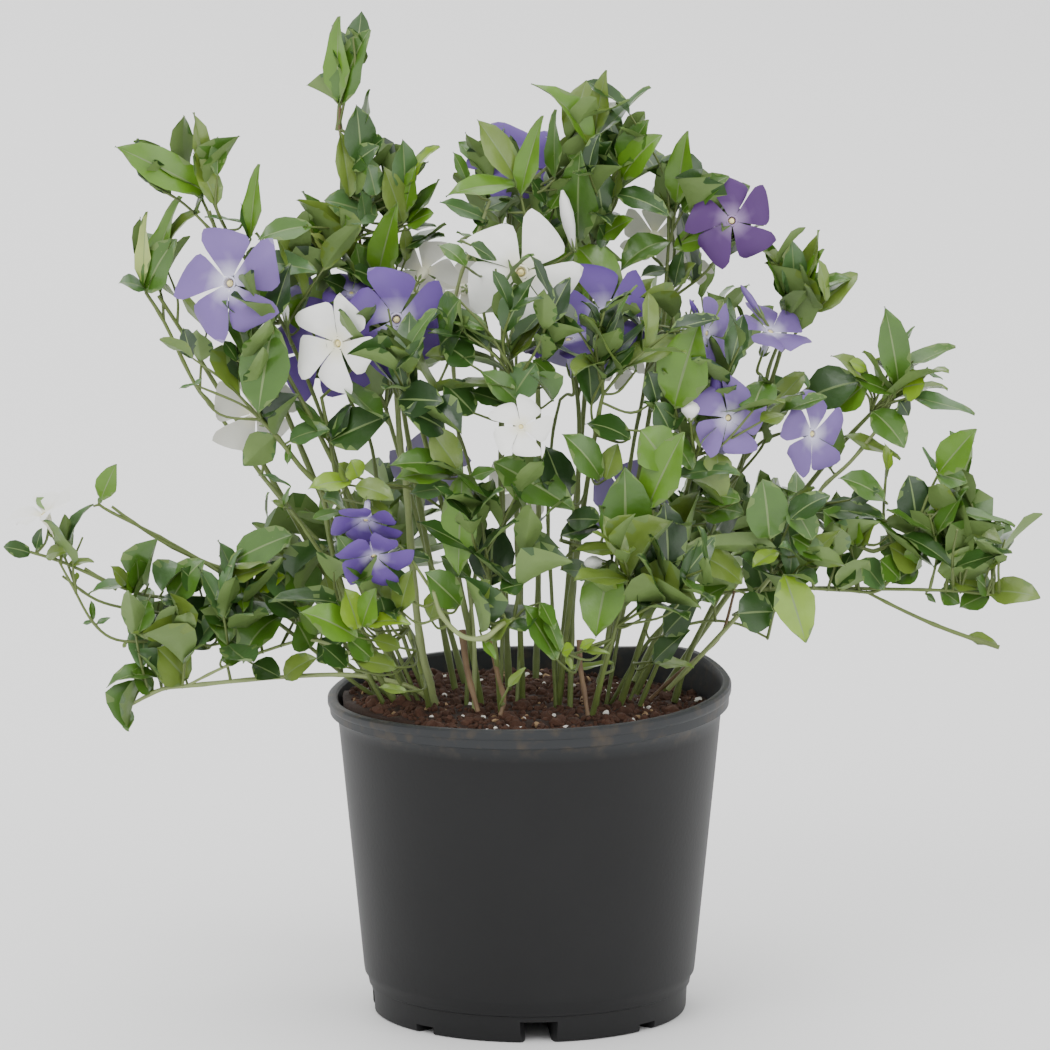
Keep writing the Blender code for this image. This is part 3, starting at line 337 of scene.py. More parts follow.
# Stems that show between the leaves: tone, thickness in millimetres, then column, row, depth
GREEN, BROWN, PALE = range(3)
FRONT_STEMS = (
    (GREEN, 1.7, ((147, 293, 6), (165, 322, 4), (196, 385, 0), (216, 410, 0), (262, 475, -8),
                  (300, 522, -12), (326, 552, -14), (346, 600, -16), (380, 660, -16), (408, 700, -14))),
    (GREEN, 1.4, ((212, 197, -8), (228, 232, -8), (252, 268, -10), (282, 322, -14), (296, 352, -14),
                  (316, 400, -16), (334, 452, -18), (352, 520, -20), (376, 600, -20), (420, 706, -18))),
    (BROWN, 1.0, ((341, 108, -4), (341, 132, -3), (346, 172, -2), (352, 198, 0), (362, 250, 2))),
    (GREEN, 2.0, ((262, 420, -30), (280, 440, -30), (300, 466, -30), (322, 492, -28), (330, 540, -26),
                  (346, 600, -24), (372, 664, -20), (396, 704, -18))),
    (GREEN, 1.5, ((262, 475, -24), (288, 505, -24), (312, 540, -24), (336, 580, -24), (352, 640, -22),
                  (384, 706, -18))),
    (GREEN, 1.6, ((322, 398, -24), (330, 440, -26), (336, 476, -26), (350, 540, -26), (372, 620, -24),
                  (412, 708, -18))),
    (GREEN, 1.5, ((350, 400, -10), (370, 440, -14), (378, 492, -16), (384, 560, -18), (404, 640, -18),
                  (430, 708, -16))),
    (PALE, 2.6, ((396, 368, -20), (400, 440, -24), (406, 480, -26), (412, 560, -26), (420, 640, -24),
                 (436, 712, -22))),
    (GREEN, 1.5, ((454, 420, -20), (470, 470, -22), (478, 540, -22), (470, 620, -22), (466, 712, -22))),
    (PALE, 1.5, ((490, 202, -8), (474, 245, -10), (460, 280, -10), (452, 330, -12), (456, 400, -16),
                 (462, 480, -20), (466, 560, -24), (474, 640, -26), (474, 714, -28))),
    (GREEN, 1.4, ((482, 304, -6), (490, 346, -8), (500, 400, -10), (500, 480, -12), (504, 560, -14),
                  (502, 640, -16), (500, 716, -18))),
    (GREEN, 1.2, ((520, 192, -8), (526, 232, -8), (520, 300, -8), (516, 372, -8), (520, 460, -10),
                  (522, 560, -12), (520, 640, -16), (516, 716, -22))),
    (GREEN, 1.9, ((574, 366, -16), (579, 420, -16), (578, 480, -16), (576, 540, -16), (572, 620, -18),
                  (570, 716, -20))),
    (GREEN, 1.3, ((560, 400, -20), (552, 440, -20), (548, 520, -18), (552, 600, -18), (556, 712, -18))),
    (GREEN, 1.5, ((668, 245, 2), (664, 290, 0), (650, 350, -4), (642, 400, -8), (634, 440, -12),
                  (622, 520, -14), (610, 620, -14), (596, 710, -14))),
    (GREEN, 1.3, ((674, 250, 3), (670, 300, 3), (674, 340, 2), (664, 400, 0), (650, 470, -4), (634, 560, -8),
                  (618, 640, -8), (606, 708, -10))),
    (GREEN, 1.5, ((793, 304, 4), (784, 330, 4), (768, 370, 2), (762, 412, 0), (744, 460, -4), (722, 500, -8),
                  (700, 560, -12), (668, 640, -14), (640, 706, -12))),
    (PALE, 1.7, ((878, 428, 8), (850, 462, 6), (822, 488, 2), (808, 516, -4), (786, 556, -14),
                 (760, 590, -14), (716, 640, -12), (668, 690, -8))),
    (GREEN, 1.3, ((886, 470, 4), (884, 520, 2), (896, 556, 0), (880, 590, 0), (840, 590, -4), (770, 588, -8),
                  (700, 600, -10), (650, 640, -10), (610, 706, -8))),
    (GREEN, 1.2, ((938, 474, 2), (926, 500, 2), (912, 540, 0), (900, 568, 0), (880, 590, 0))),
    (GREEN, 1.3, ((1000, 596, 0), (968, 592, 0), (930, 590, 0), (880, 589, 0), (820, 588, -4),
                  (760, 590, -8))),
    (GREEN, 1.3, ((101, 500, 4), (104, 508, 4), (160, 537, 4), (200, 560, 4), (240, 586, 0), (286, 616, -6),
                  (330, 650, -10), (380, 690, -10), (400, 706, -10))),
    (GREEN, 1.4, ((30, 552, 0), (62, 562, 0), (110, 583, 0), (150, 596, 0), (200, 598, 0), (250, 606, -4),
                  (300, 640, -8), (350, 680, -10), (386, 704, -8))),
    (GREEN, 1.1, ((58, 560, -2), (72, 586, -2), (92, 622, -2), (116, 640, -2), (160, 642, -2),
                  (210, 646, -4))),
    (GREEN, 1.2, ((62, 576, 3), (96, 600, 3), (134, 610, 3), (168, 616, 2), (210, 640, 0))),
    (PALE, 1.7, ((130, 705, -6), (160, 690, -6), (190, 686, -6), (260, 679, -8), (330, 675, -14),
                 (372, 678, -18), (412, 688, -20), (430, 702, -20))),
    (PALE, 1.2, ((186, 686, -6), (222, 668, -8), (262, 652, -8), (310, 640, -10), (350, 654, -14))),
    (BROWN, 1.3, ((735, 590, -10), (722, 634, -8), (700, 656, -6), (676, 676, -6), (650, 700, -6))),
    (GREEN, 1.1, ((768, 638, -8), (738, 624, -8), (700, 622, -10), (660, 640, -12), (630, 700, -12))),
    (PALE, 1.9, ((433, 592, -64), (442, 616, -66), (462, 636, -68), (484, 638, -68), (500, 626, -66),
                 (514, 620, -60))),
    (BROWN, 2.2, ((478, 712, -46), (472, 690, -44), (466, 664, -40), (462, 630, -36))),
    (BROWN, 1.9, ((588, 716, -44), (584, 690, -42), (580, 664, -40), (580, 640, -38))),
    (BROWN, 1.8, ((500, 716, -48), (504, 700, -46), (498, 676, -40), (490, 640, -34))),
    (PALE, 1.8, ((560, 540, -40), (590, 548, -46), (630, 548, -48))),
)

# Flowers: colour, column, row, depth, turn right and lift in degrees, spin, width in pixels, cup
VIOLET, LAVENDER, PURPLE, WHITE = range(4)
PETAL_COLOURS = (
    ("violet", (0.095, 0.045, 0.240), (0.46, 0.42, 0.62)),
    ("lavender", (0.150, 0.095, 0.290), (0.56, 0.54, 0.70)),
    ("purple", (0.055, 0.012, 0.105), (0.26, 0.18, 0.34)),
    ("white", (0.800, 0.800, 0.770), (0.82, 0.80, 0.62)),
)
FLOWERS = (
    (LAVENDER, 230, 284, -26, -22, 6, 20, 116, 0.20), (VIOLET, 397, 320, -30, 0, 4, 90, 108, 0.10),
    (WHITE, 338, 344, -34, -32, -6, 50, 100, 0.34), (WHITE, 521, 273, -30, 4, 6, 54, 120, 0.08),
    (WHITE, 521, 427, -60, 2, 14, 64, 64, 0.18), (VIOLET, 514, 164, 14, 6, 22, 88, 92, 0.15),
    (VIOLET, 568, 340, -28, -14, 66, 10, 108, 0.25), (VIOLET, 604, 314, -18, 16, 12, 96, 110, 0.22),
    (PURPLE, 731, 222, -6, 10, 4, 92, 92, 0.16), (LAVENDER, 706, 334, -30, 58, -6, 24, 78, 0.32),
    (LAVENDER, 770, 332, -6, 28, 52, 86, 80, 0.36), (LAVENDER, 728, 418, -36, 22, 0, 70, 84, 0.24),
    (LAVENDER, 812, 434, -12, 42, -4, 84, 88, 0.22), (VIOLET, 366, 520, -62, -8, -58, 30, 72, 0.42),
    (VIOLET, 374, 556, -62, 6, -46, 66, 76, 0.40), (VIOLET, 322, 350, -10, -8, 4, 82, 108, 0.12),
    (VIOLET, 288, 284, 4, 165, 22, 14, 50, 0.36), (WHITE, 424, 272, 6, 168, 24, 40, 74, 0.34),
    (WHITE, 256, 412, -10, 200, 20, 10, 96, 0.30), (WHITE, 44, 514, -2, -50, 58, 50, 70, 0.46),
    (WHITE, 548, 172, 20, 180, 24, 60, 66, 0.34), (WHITE, 654, 236, 22, 176, 26, 20, 72, 0.34),
    (WHITE, 462, 290, 14, 190, 0, 30, 64, 0.30), (VIOLET, 352, 294, -4, 0, 46, 40, 60, 0.30),
    (WHITE, 692, 270, 20, 150, 30, 30, 40, 0.40), (WHITE, 618, 362, 8, 160, -20, 30, 54, 0.40),
    (VIOLET, 400, 316, 66, 178, 8, 30, 92, 0.16), (WHITE, 524, 268, 74, 172, 10, 60, 100, 0.14),
    (LAVENDER, 580, 330, 76, 168, 4, 10, 92, 0.18), (WHITE, 334, 344, 66, 200, 2, 40, 84, 0.20),
    (VIOLET, 630, 500, 84, 172, 0, 15, 84, 0.16), (LAVENDER, 724, 420, 74, 158, 0, 55, 76, 0.22),
    (VIOLET, 262, 366, 50, 215, 6, 20, 66, 0.22), (LAVENDER, 430, 470, 84, 186, 0, 70, 84, 0.22),
    (WHITE, 520, 490, 86, 180, -6, 25, 76, 0.24),
)
PALE_BUDS = (
    (WHITE, 690, 420, 690, 401, 19, -40), (WHITE, 606, 563, 584, 563, 15, -50),
    (WHITE, 622, 566, 622, 538, 11, -50), (WHITE, 574, 252, 562, 192, 14, -12),
    (WHITE, 288, 326, 285, 300, 8, -20), (VIOLET, 700, 322, 689, 300, 6, -30),
    (LAVENDER, 762, 318, 740, 286, 8, -6), (VIOLET, 718, 416, 715, 372, 15, -34),
)

# Places where the pale ground shows between the shoots: column, row, half width, half height
OPEN_PLACES = (
    (285, 148, 36, 56), (425, 96, 30, 56), (446, 168, 8, 20), (488, 80, 44, 44), (640, 62, 60, 34),
    (648, 188, 16, 8), (720, 110, 30, 62), (692, 306, 18, 18), (612, 402, 30, 34), (506, 344, 12, 34),
    (474, 330, 8, 14), (482, 442, 14, 34), (390, 470, 9, 34), (296, 482, 26, 32), (318, 560, 14, 20),
    (216, 378, 18, 40), (306, 408, 12, 14), (742, 362, 12, 22), (780, 366, 22, 24), (774, 446, 20, 30),
    (840, 330, 34, 28), (868, 456, 24, 8), (922, 438, 16, 24), (1004, 476, 36, 40), (892, 572, 12, 6),
    (700, 640, 22, 12), (745, 650, 40, 16), (264, 630, 14, 8), (288, 662, 12, 8), (120, 470, 60, 60),
    (140, 520, 50, 14), (236, 200, 22, 30), (168, 240, 10, 40), (560, 110, 14, 26), (540, 60, 40, 30),
    (420, 212, 14, 8), (590, 504, 8, 20), (368, 452, 8, 22), (60, 640, 60, 40), (910, 340, 20, 26),
    (950, 620, 60, 12), (240, 700, 90, 14), (500, 510, 8, 12), (560, 500, 8, 14),
)


# Places

def seen(column, row, depth=0.0):
    """The point that shows at that column and row, depth millimetres behind the pot's axis."""
    y = depth / 1000.0
    spread = 1.0 + y * math.cos(VIEW_RISE) / CAMERA_AWAY
    x = AIM.x + (column - PICTURE / 2) * PIXEL * spread
    up = AIM.z * math.cos(VIEW_RISE) + (PICTURE / 2 - row) * PIXEL * spread
    return Vector((x, y, (up - y * math.sin(VIEW_RISE)) / math.cos(VIEW_RISE)))


def picture_place(point):
    """The column and row where a point shows."""
    spread = 1.0 + point.y * math.cos(VIEW_RISE) / CAMERA_AWAY
    up = point.dot(VIEW_UP) - AIM.z * math.cos(VIEW_RISE)
    return PICTURE / 2 + (point.x - AIM.x) / PIXEL / spread, PICTURE / 2 - up / PIXEL / spread


def is_open(point):
    """True where the pale ground shows."""
    column, row = picture_place(point)
    return any(((column - c) / w) ** 2 + ((row - r) / h) ** 2 < 1 for c, r, w, h in OPEN_PLACES)


def inside_masses(point, margin=0.004):
    """True inside, or within a margin of, the oval that fits a mass of foliage."""
    for low, high in MASS_BOXES.values():
        middle = (low + high) / 2
        half = (high - low) / 2
        if sum(((point[i] - middle[i]) / (half[i] + margin)) ** 2 for i in range(3)) < 1:
            return True
    return False


def round_about(radius, share, height):
    """The point at a share of a turn about Z."""
    angle = 2 * math.pi * share
    return Vector((radius * math.cos(angle), radius * math.sin(angle), height))


# Meshes

def link(obj):
    """Puts an object in the scene."""
    bpy.context.scene.collection.objects.link(obj)
    return obj


def new_object(name, data):
    """An object of that data, in the scene."""
    return link(bpy.data.objects.new(name, data))


def mesh_object(name, vertices, faces, materials=(), indices=None, smooth=True):
    """A mesh object of those vertices and faces, with each face's material index."""
    mesh = bpy.data.meshes.new(name)
    mesh.from_pydata([tuple(v) for v in vertices], [], [tuple(f) for f in faces])
    for material in materials:
        mesh.materials.append(material)
    if indices is not None:
        mesh.polygons.foreach_set("material_index", np.asarray(indices, np.int32))
    mesh.polygons.foreach_set("use_smooth", np.full(len(mesh.polygons), smooth))
    mesh.update()
    return new_object(name, mesh)


def outward(obj):
    """Merges a mesh's doubles and points its faces outwards."""
    bm = bmesh.new()
    bm.from_mesh(obj.data)
    bmesh.ops.remove_doubles(bm, verts=bm.verts, dist=0.000001)
    bmesh.ops.recalc_face_normals(bm, faces=bm.faces)
    bm.to_mesh(obj.data)
    bm.free()
    return obj


def from_bmesh(name, bm):
    """A smooth mesh object of a bmesh, which is freed."""
    mesh = bpy.data.meshes.new(name)
    bm.to_mesh(mesh)
    bm.free()
    mesh.polygons.foreach_set("use_smooth", np.full(len(mesh.polygons), True))
    return new_object(name, mesh)


def as_mesh(obj, name):
    """A plain mesh object of what the modifiers make of an object, which goes."""
    graph = bpy.context.evaluated_depsgraph_get()
    mesh = bpy.data.meshes.new_from_object(obj.evaluated_get(graph), depsgraph=graph)
    mesh.name = name
    bpy.data.objects.remove(obj)
    return new_object(name, mesh)


def finish_piece(obj, nodes=()):
    """Gives a finished piece its body and hides the CAD nodes that it stands for."""
    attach(obj, "root")
    if nodes:
        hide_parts(*nodes)
    return obj


# Node trees and materials

def add_node(tree, kind, values=(), **settings):
    """Adds a node. Its settings are given by name, its inputs as constants or as sockets to link."""
    node = tree.nodes.new(kind)
    for label, value in settings.items():
        setattr(node, label, value)
    for label, value in dict(values).items():
        if isinstance(value, bpy.types.NodeSocket):
            tree.links.new(value, node.inputs[label])
        else:
            node.inputs[label].default_value = value
    return node


def mixed(tree, share, first, second):
    """A colour socket that goes from a first colour to a second one by a share."""
    values = {0: share, 6: first, 7: (*second, 1.0)}
    return add_node(tree, "ShaderNodeMix", values, data_type="RGBA").outputs[2]


def surface(name, colour, roughness, varied=0.12, grain=400.0, relief=0.15, relief_size=900.0, coat=0.0,
            second=None):
    """A procedural finish: a colour that drifts towards a second one, with fine relief."""
    material = bpy.data.materials.new(name)
    material.use_nodes = True
    material.diffuse_color = (*colour, 1.0)
    tree = material.node_tree
    place = add_node(tree, "ShaderNodeTexCoord").outputs["Object"]
    drift = add_node(tree, "ShaderNodeTexNoise", {"Vector": place, "Scale": grain, "Detail": 4.0})
    fine = add_node(tree, "ShaderNodeTexNoise", {"Vector": place, "Scale": relief_size, "Detail": 3.0})
    bump = add_node(tree, "ShaderNodeBump", {
        "Height": fine.outputs["Fac"], "Strength": relief, "Distance": 0.0004})
    near = (*(c * (1.0 - varied) for c in colour), 1.0)
    far = second or tuple(c * (1.0 + 2.2 * varied) for c in colour)
    shader = tree.nodes["Principled BSDF"]
    shader.inputs["Roughness"].default_value = roughness
    shader.inputs["Coat Weight"].default_value = coat
    shader.inputs["Coat Roughness"].default_value = 0.22
    tree.links.new(mixed(tree, drift.outputs["Fac"], near, far), shader.inputs["Base Color"])
    tree.links.new(bump.outputs["Normal"], shader.inputs["Normal"])
    return material


def fade(material, colour, share):
    """Fades a material's colour to another by a share, which is a socket of its own tree."""
    tree = material.node_tree
    base = tree.nodes["Principled BSDF"].inputs["Base Color"]
    tree.links.new(mixed(tree, share, base.links[0].from_socket, colour), base)
    return material


def scaled(colour, factor, added=0.0):
    """A lighter or darker colour."""
    return tuple(c * factor + added for c in colour)


def node_group(name, inputs):
    """A geometry node tree with a geometry input and named inputs of (name, socket type, default)."""
    tree = bpy.data.node_groups.new(name, "GeometryNodeTree")
    tree.interface.new_socket("Geometry", in_out="INPUT", socket_type="NodeSocketGeometry")
    for label, kind, default in inputs:
        socket = tree.interface.new_socket(label, in_out="INPUT", socket_type=kind)
        if default is not None:
            socket.default_value = default
    tree.interface.new_socket("Geometry", in_out="OUTPUT", socket_type="NodeSocketGeometry")
    return tree, tree.nodes.new("NodeGroupInput").outputs


def end_tree(tree, geometry):
    """Leads a geometry socket to the tree's output."""
    add_node(tree, "NodeGroupOutput", {"Geometry": geometry})
    return tree


def realized(tree, geometry):
    """Turns instances into plain geometry."""
    return add_node(tree, "GeometryNodeRealizeInstances", {"Geometry": geometry}).outputs["Geometry"]


def painted(tree, geometry, material, selection=True):
    """Gives a material to the selected faces."""
    values = {"Geometry": geometry, "Material": material, "Selection": selection}
    return add_node(tree, "GeometryNodeSetMaterial", values).outputs["Geometry"]


def named(tree, label, kind):
    """The named attribute's socket."""
    node = add_node(tree, "GeometryNodeInputNamedAttribute", {"Name": label}, data_type=kind)
    return node.outputs["Attribute"]


def painted_where(tree, geometry, label, number, material):
    """Gives a material to the faces whose named whole number is that number."""
    same = add_node(tree, "FunctionNodeCompare", {2: named(tree, label, "INT"), 3: number},
                    data_type="INT", operation="EQUAL")
    return painted(tree, geometry, material, same.outputs["Result"])


def grown_by(obj, tree, values, name):
    """The plain mesh object that a node tree makes of an object, its inputs set by socket identifier."""
    modifier = obj.modifiers.new(tree.name, "NODES")
    modifier.node_group = tree
    for item in tree.interface.items_tree:
        if item.in_out == "INPUT" and item.name in values:
            modifier[item.identifier] = values[item.name]
    return as_mesh(obj, name)


# Leaves

LEAF_STATIONS = (0.0, 0.09, 0.24, 0.42, 0.60, 0.78, 0.92, 1.0)
LEAF_ACROSS = (-1.0, -0.5, -0.05, 0.05, 0.5, 1.0)
LEAF_THICKNESS = 0.012
LEAF_STEPS = 24
LEAF_WAVE = 0.035
LEAF_SAG = 0.25
WIDEST_LEAF = 0.021
LEAST_OPEN = 0.45
BLADE, RIB, UNDERSIDE = range(3)


def leaf_half_width(along, blunt):
    """Half the width of a leaf of width 1 at a share of its length."""
    pointed = math.sin(math.pi * min(1.0, along) ** 0.86) ** (0.92 - 0.34 * blunt)
    return 0.5 * max(0.035 if along < 0.5 else 0.008, pointed)


def leaf_middle(bend):
    """Points along a bent leaf's rib, whose tip ends one unit out along Y."""
    middle = [Vector((0, 0, 0))]
    for i in range(LEAF_STEPS):
        angle = bend * ((i + 0.5) / LEAF_STEPS - 0.5)
        middle.append(middle[-1] + Vector((0, math.cos(angle), -math.sin(angle))) / LEAF_STEPS)
    stretch = 1.0 / middle[-1].y
    return [point * stretch for point in middle]


def leaf_layer(number, side):
    """Points of a leaf's upper side, at a side of 0.5, or of its underside, at -0.5."""
    bend, fold, twist = (math.radians(v) for v in LEAF_SHAPES[number][:3])
    middle = leaf_middle(bend)
    points = []
    for along in LEAF_STATIONS:
        centre = middle[round(along * LEAF_STEPS)]
        half = leaf_half_width(along, LEAF_SHAPES[number][3])
        turn = twist * (along - 0.5)
        slope = bend * (along - 0.5)
        thick = side * LEAF_THICKNESS if 0.0 < along < 1.0 else 0.0
        for across in LEAF_ACROSS:
            reach = across * half
            lift = abs(reach) * math.tan(fold) - LEAF_SAG * reach * reach
            lift += LEAF_WAVE * abs(across) * math.sin(9.0 * along + number + across)
            edge = 0.0 if abs(across) == 1.0 else thick
            x = reach * math.cos(turn) - lift * math.sin(turn)
            z = reach * math.sin(turn) + lift * math.cos(turn) + edge
            points.append((x, centre.y + z * math.sin(slope), centre.z + z * math.cos(slope)))
    return points


def leaf_shape(number):
    """A closed thin leaf of length and width 1 along +Y, its face up, its base at the origin."""
    upper = leaf_layer(number, 0.5)
    count = len(LEAF_ACROSS)
    faces, parts = [], []
    for i in range(len(LEAF_STATIONS) - 1):
        for j in range(count - 1):
            a = i * count + j
            quad = (a, a + 1, a + count + 1, a + count)
            faces.append(quad)
            parts.append(RIB if j == count // 2 - 1 else BLADE)
            faces.append(tuple(len(upper) + v for v in reversed(quad)))
            parts.append(UNDERSIDE)
    obj = mesh_object(f"leaf_shape_{number}", upper + leaf_layer(number, -0.5), faces)
    obj.data.attributes.new("part", "INT", "FACE").data.foreach_set("value", np.array(parts, np.int32))
    bm = bmesh.new()
    bm.from_mesh(obj.data)
    bmesh.ops.remove_doubles(bm, verts=bm.verts, dist=0.0001)
    for edge in bm.edges:
        edge.smooth = len(edge.link_faces) == 2 and edge.calc_face_angle(0.0) < math.radians(60)
    bm.to_mesh(obj.data)
    bm.free()
    bpy.context.scene.collection.objects.unlink(obj)
    return obj


class Leaf:
    """One leaf: its base, the way to its tip, the way its face looks, its width, shape and tint."""

    def __init__(self, base, reach, face, width, shape, tint):
        self.base = base
        self.reach = reach
        axis = reach.normalized()
        side = axis.cross(face)
        if side.length < 0.001:
            side = axis.cross(Vector((0.3, 0.5, 0.8)))
        side.normalize()
        self.turn = Matrix((side, axis, side.cross(axis))).transposed().to_quaternion()
        self.span = (width, reach.length, reach.length)
        self.shape = shape
        self.tint = tint


def shown_leaf(place, depth):
    """A leaf as it shows in the front view."""
    base = seen(place.column, place.row, depth)
    reach = seen(place.tip_column, place.tip_row, depth + place.lean) - base
    axis = reach.normalized()
    flat = (TOWARD - axis * TOWARD.dot(axis)).normalized()
    rising = axis.cross(flat)
    if rising.z < 0:
        rising = -rising
    looks = flat * place.face + rising * math.sqrt(1.0 - place.face * place.face)
    width = place.width * PIXEL / max(LEAST_OPEN, abs(place.face))
    return Leaf(base, reach, looks, min(width, WIDEST_LEAF), place.shape, place.tint)


def leaf_tree(materials, rib, underside):
    """Node tree that puts a leaf on every point, realizes it and deals out the tints."""
    tree, start = node_group("leaves_on_points", [
        ("Leaf Shapes", "NodeSocketCollection", None), ("Size", "NodeSocketFloat", 1.0)])
    shapes = add_node(tree, "GeometryNodeCollectionInfo", {
        "Collection": start["Leaf Shapes"], "Separate Children": True})
    span = add_node(tree, "ShaderNodeVectorMath", {
        0: named(tree, "span", "FLOAT_VECTOR"), "Scale": start["Size"]}, operation="SCALE")
    leaves = add_node(tree, "GeometryNodeInstanceOnPoints", {
        "Points": start["Geometry"], "Instance": shapes.outputs[0], "Pick Instance": True,
        "Instance Index": named(tree, "shape", "INT"), "Rotation": named(tree, "turn", "QUATERNION"),
        "Scale": span.outputs["Vector"]})
    geometry = realized(tree, leaves.outputs["Instances"])
    for number, material in enumerate(materials):
        geometry = painted_where(tree, geometry, "tint", number, material)
    geometry = painted_where(tree, geometry, "part", RIB, rib)
    return end_tree(tree, painted_where(tree, geometry, "part", UNDERSIDE, underside))


def leaf_piece(name, leaves, tree, shapes):
    """One mesh of all those leaves."""
    mesh = bpy.data.meshes.new(name)
    mesh.from_pydata([tuple(leaf.base) for leaf in leaves], [], [])
    for label, kind, values, field in (
            ("turn", "QUATERNION", [v for leaf in leaves for v in leaf.turn], "value"),
            ("span", "FLOAT_VECTOR", [v for leaf in leaves for v in leaf.span], "vector"),
            ("shape", "INT", [leaf.shape for leaf in leaves], "value"),
            ("tint", "INT", [leaf.tint for leaf in leaves], "value")):
        mesh.attributes.new(label, kind, "POINT").data.foreach_set(field, values)
    size = bpy.context.scene.periwinkle_leaves.size
    piece = grown_by(new_object(name + "_points", mesh), tree, {"Leaf Shapes": shapes, "Size": size}, name)
    for label in ("part", "tint", "shape", "span", "turn"):
        if label in piece.data.attributes:
            piece.data.attributes.remove(piece.data.attributes[label])
    return piece


# Stems

KNOT_GAP = 0.016
KNOT_LENGTH = 0.16
KNOT_SWELL = 0.28
UNEVEN = 0.08
STEM_THICKNESS = 0.0021
RUNNER_THICKNESS = 0.0016
TWIG_THICKNESS = 0.0009
SHOOT_THICKNESS = 0.0011
STALK_THICKNESS = 0.0010


class Stem:
    """A stem's points from tip to foot, its thickness in metres, tone and share of thickness at its tip."""

    def __init__(self, points, thickness, tone=GREEN, taper=0.72):
        self.points = smooth_path(points)
        self.thickness = thickness
        self.tone = tone
        self.taper = taper


def smooth_path(points, between=5):
    """A smooth curve through the points."""
    ends = [points[0] * 2 - points[1], *points, points[-1] * 2 - points[-2]]
    path = []
    for p0, p1, p2, p3 in zip(ends, ends[1:], ends[2:], ends[3:]):
        for i in range(between):
            t = i / between
            path.append(0.5 * (2 * p1 + (p2 - p0) * t + (2 * p0 - 5 * p1 + 4 * p2 - p3) * t * t
                               + (3 * p1 - p0 - 3 * p2 + p3) * t ** 3))
    return path + [points[-1].copy()]


def centre_line(name):
    """The line through a CAD stem's rings, from its tip to its foot."""
    points = np.array([v.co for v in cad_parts[name].data.vertices])
    spread = points - points.mean(0)
    axis = np.linalg.svd(spread, full_matrices=False)[2][0]
    order = np.argsort(spread @ axis)
    gaps = np.diff((spread @ axis)[order])
    rings = np.split(points[order], np.flatnonzero(gaps > 0.004) + 1)
    line = [Vector(ring.mean(0)) for ring in rings]
    upright = abs(axis[2]) > 0.3
    foot_first = line[0].z < line[-1].z if upright else abs(line[0].x) < abs(line[-1].x)
    return line[::-1] if foot_first else line


def stem_tree(material):
    """Node tree that runs a round section along every stem."""
    tree, start = node_group("stems_along_paths", [("Sides", "NodeSocketInt", 8)])
    circle = add_node(tree, "GeometryNodeCurvePrimitiveCircle", {
        "Resolution": start["Sides"], "Radius": 1.0})
    thickness = add_node(tree, "GeometryNodeInputRadius")
    tube = add_node(tree, "GeometryNodeCurveToMesh", {
        "Curve": start["Geometry"], "Profile Curve": circle.outputs["Curve"],
        "Scale": thickness.outputs["Radius"], "Fill Caps": True})
    shade = add_node(tree, "GeometryNodeSetShadeSmooth", {"Geometry": tube.outputs["Mesh"]})
    return end_tree(tree, painted(tree, realized(tree, shade.outputs["Geometry"]), material))


def stem_piece(name, stems, material):
    """One mesh of stems, with a swelling at each of their knots and an uneven skin."""
    curve = bpy.data.curves.new(name, "CURVE")
    curve.dimensions = "3D"
    for number, stem in enumerate(stems):
        spline = curve.splines.new("POLY")
        spline.points.add(len(stem.points) - 1)
        run = 0.0
        last = stem.points[0]
        for i, point in enumerate(stem.points):
            run += (point - last).length
            last = point
            share = i / (len(stem.points) - 1)
            near = abs((run / KNOT_GAP) % 1.0 - 0.5)
            swell = 1.0 + KNOT_SWELL * max(0.0, 1.0 - near / KNOT_LENGTH)
            uneven = 1.0 + UNEVEN * noise.noise(point * 320.0 + Vector((number, 0, 0)))
            thick = stem.thickness * (stem.taper + (1 - stem.taper) * share) * swell * uneven
            spline.points[i].co = (*point, 1.0)
            spline.points[i].radius = thick / 2
    host = new_object(name + "_paths", curve)
    return grown_by(host, stem_tree(material), {"Sides": bpy.context.scene.periwinkle_stems.sides}, name)


# Growth

GROUPS = {
    "crown_left": ("top_tuft", "upper_left_tuft", "far_left_tuft", "left_crown", "left_crown_side"),
    "crown_centre": ("centre_crown", "centre_crown_right", "right_shoot_tuft"),
    "crown_right": ("right_tuft", "far_right_tuft", "right_tip_tuft", "right_low_body"),
    "body_left": ("left_body", "centre_left_body", "low_left_body"),
    "body_centre": ("centre_body", "centre_right_body", "low_centre_body", "low_right_body", "right_body"),
    "trail_left": ("left_trail_near", "left_trail_low", "left_trail_tip", "left_high_tip"),
    "trail_right": ("right_trail_near", "right_trail_far"),
    "back": ("back_left_crown", "back_centre_crown", "back_right_crown", "back_left_low", "back_right_low"),
}
# Shoots that fill a mass of middling size, and the tints of their leaves
SHOOTS = {"back": 9, "body_centre": 6, "body_left": 6, "trail_left": 5, "trail_right": 7, "crown_centre": 5,
          "crown_left": 4, "crown_right": 4}
MIDDLING_MASS = 0.024
FILL_TINTS = {"back": (FRESH, MID, MID, DARK, OLIVE, GREY), "trail_left": (MID, OLIVE, DARK, GREY),
              "trail_right": (OLIVE, MID, GREY, DARK)}
# Fill leaves of the other masses draw on darker tints, as painted shade inside the foliage.
SHADED_FILL_TINTS = (MID, DARK, DARK, PAINTED_SHADE, OLIVE)
FILL_SHAPES = (PLAIN, PLAIN, ARCHED, FOLDED, BACKWARD, TWIST_LEFT, TWIST_RIGHT, ROUND)
NODE_GAP = 0.0115
SHOOT_SAG = 0.12
SHOOT_LEAF = 0.026
TIP_LEAF_SHARE = 0.62
PAIRS_TO_FULL_SIZE = 2.5
LEAF_LIFT = 0.25
LOWEST_TIP = 0.108
LONGEST_SHOOT = 0.075
BEHIND_FRONT = 0.010


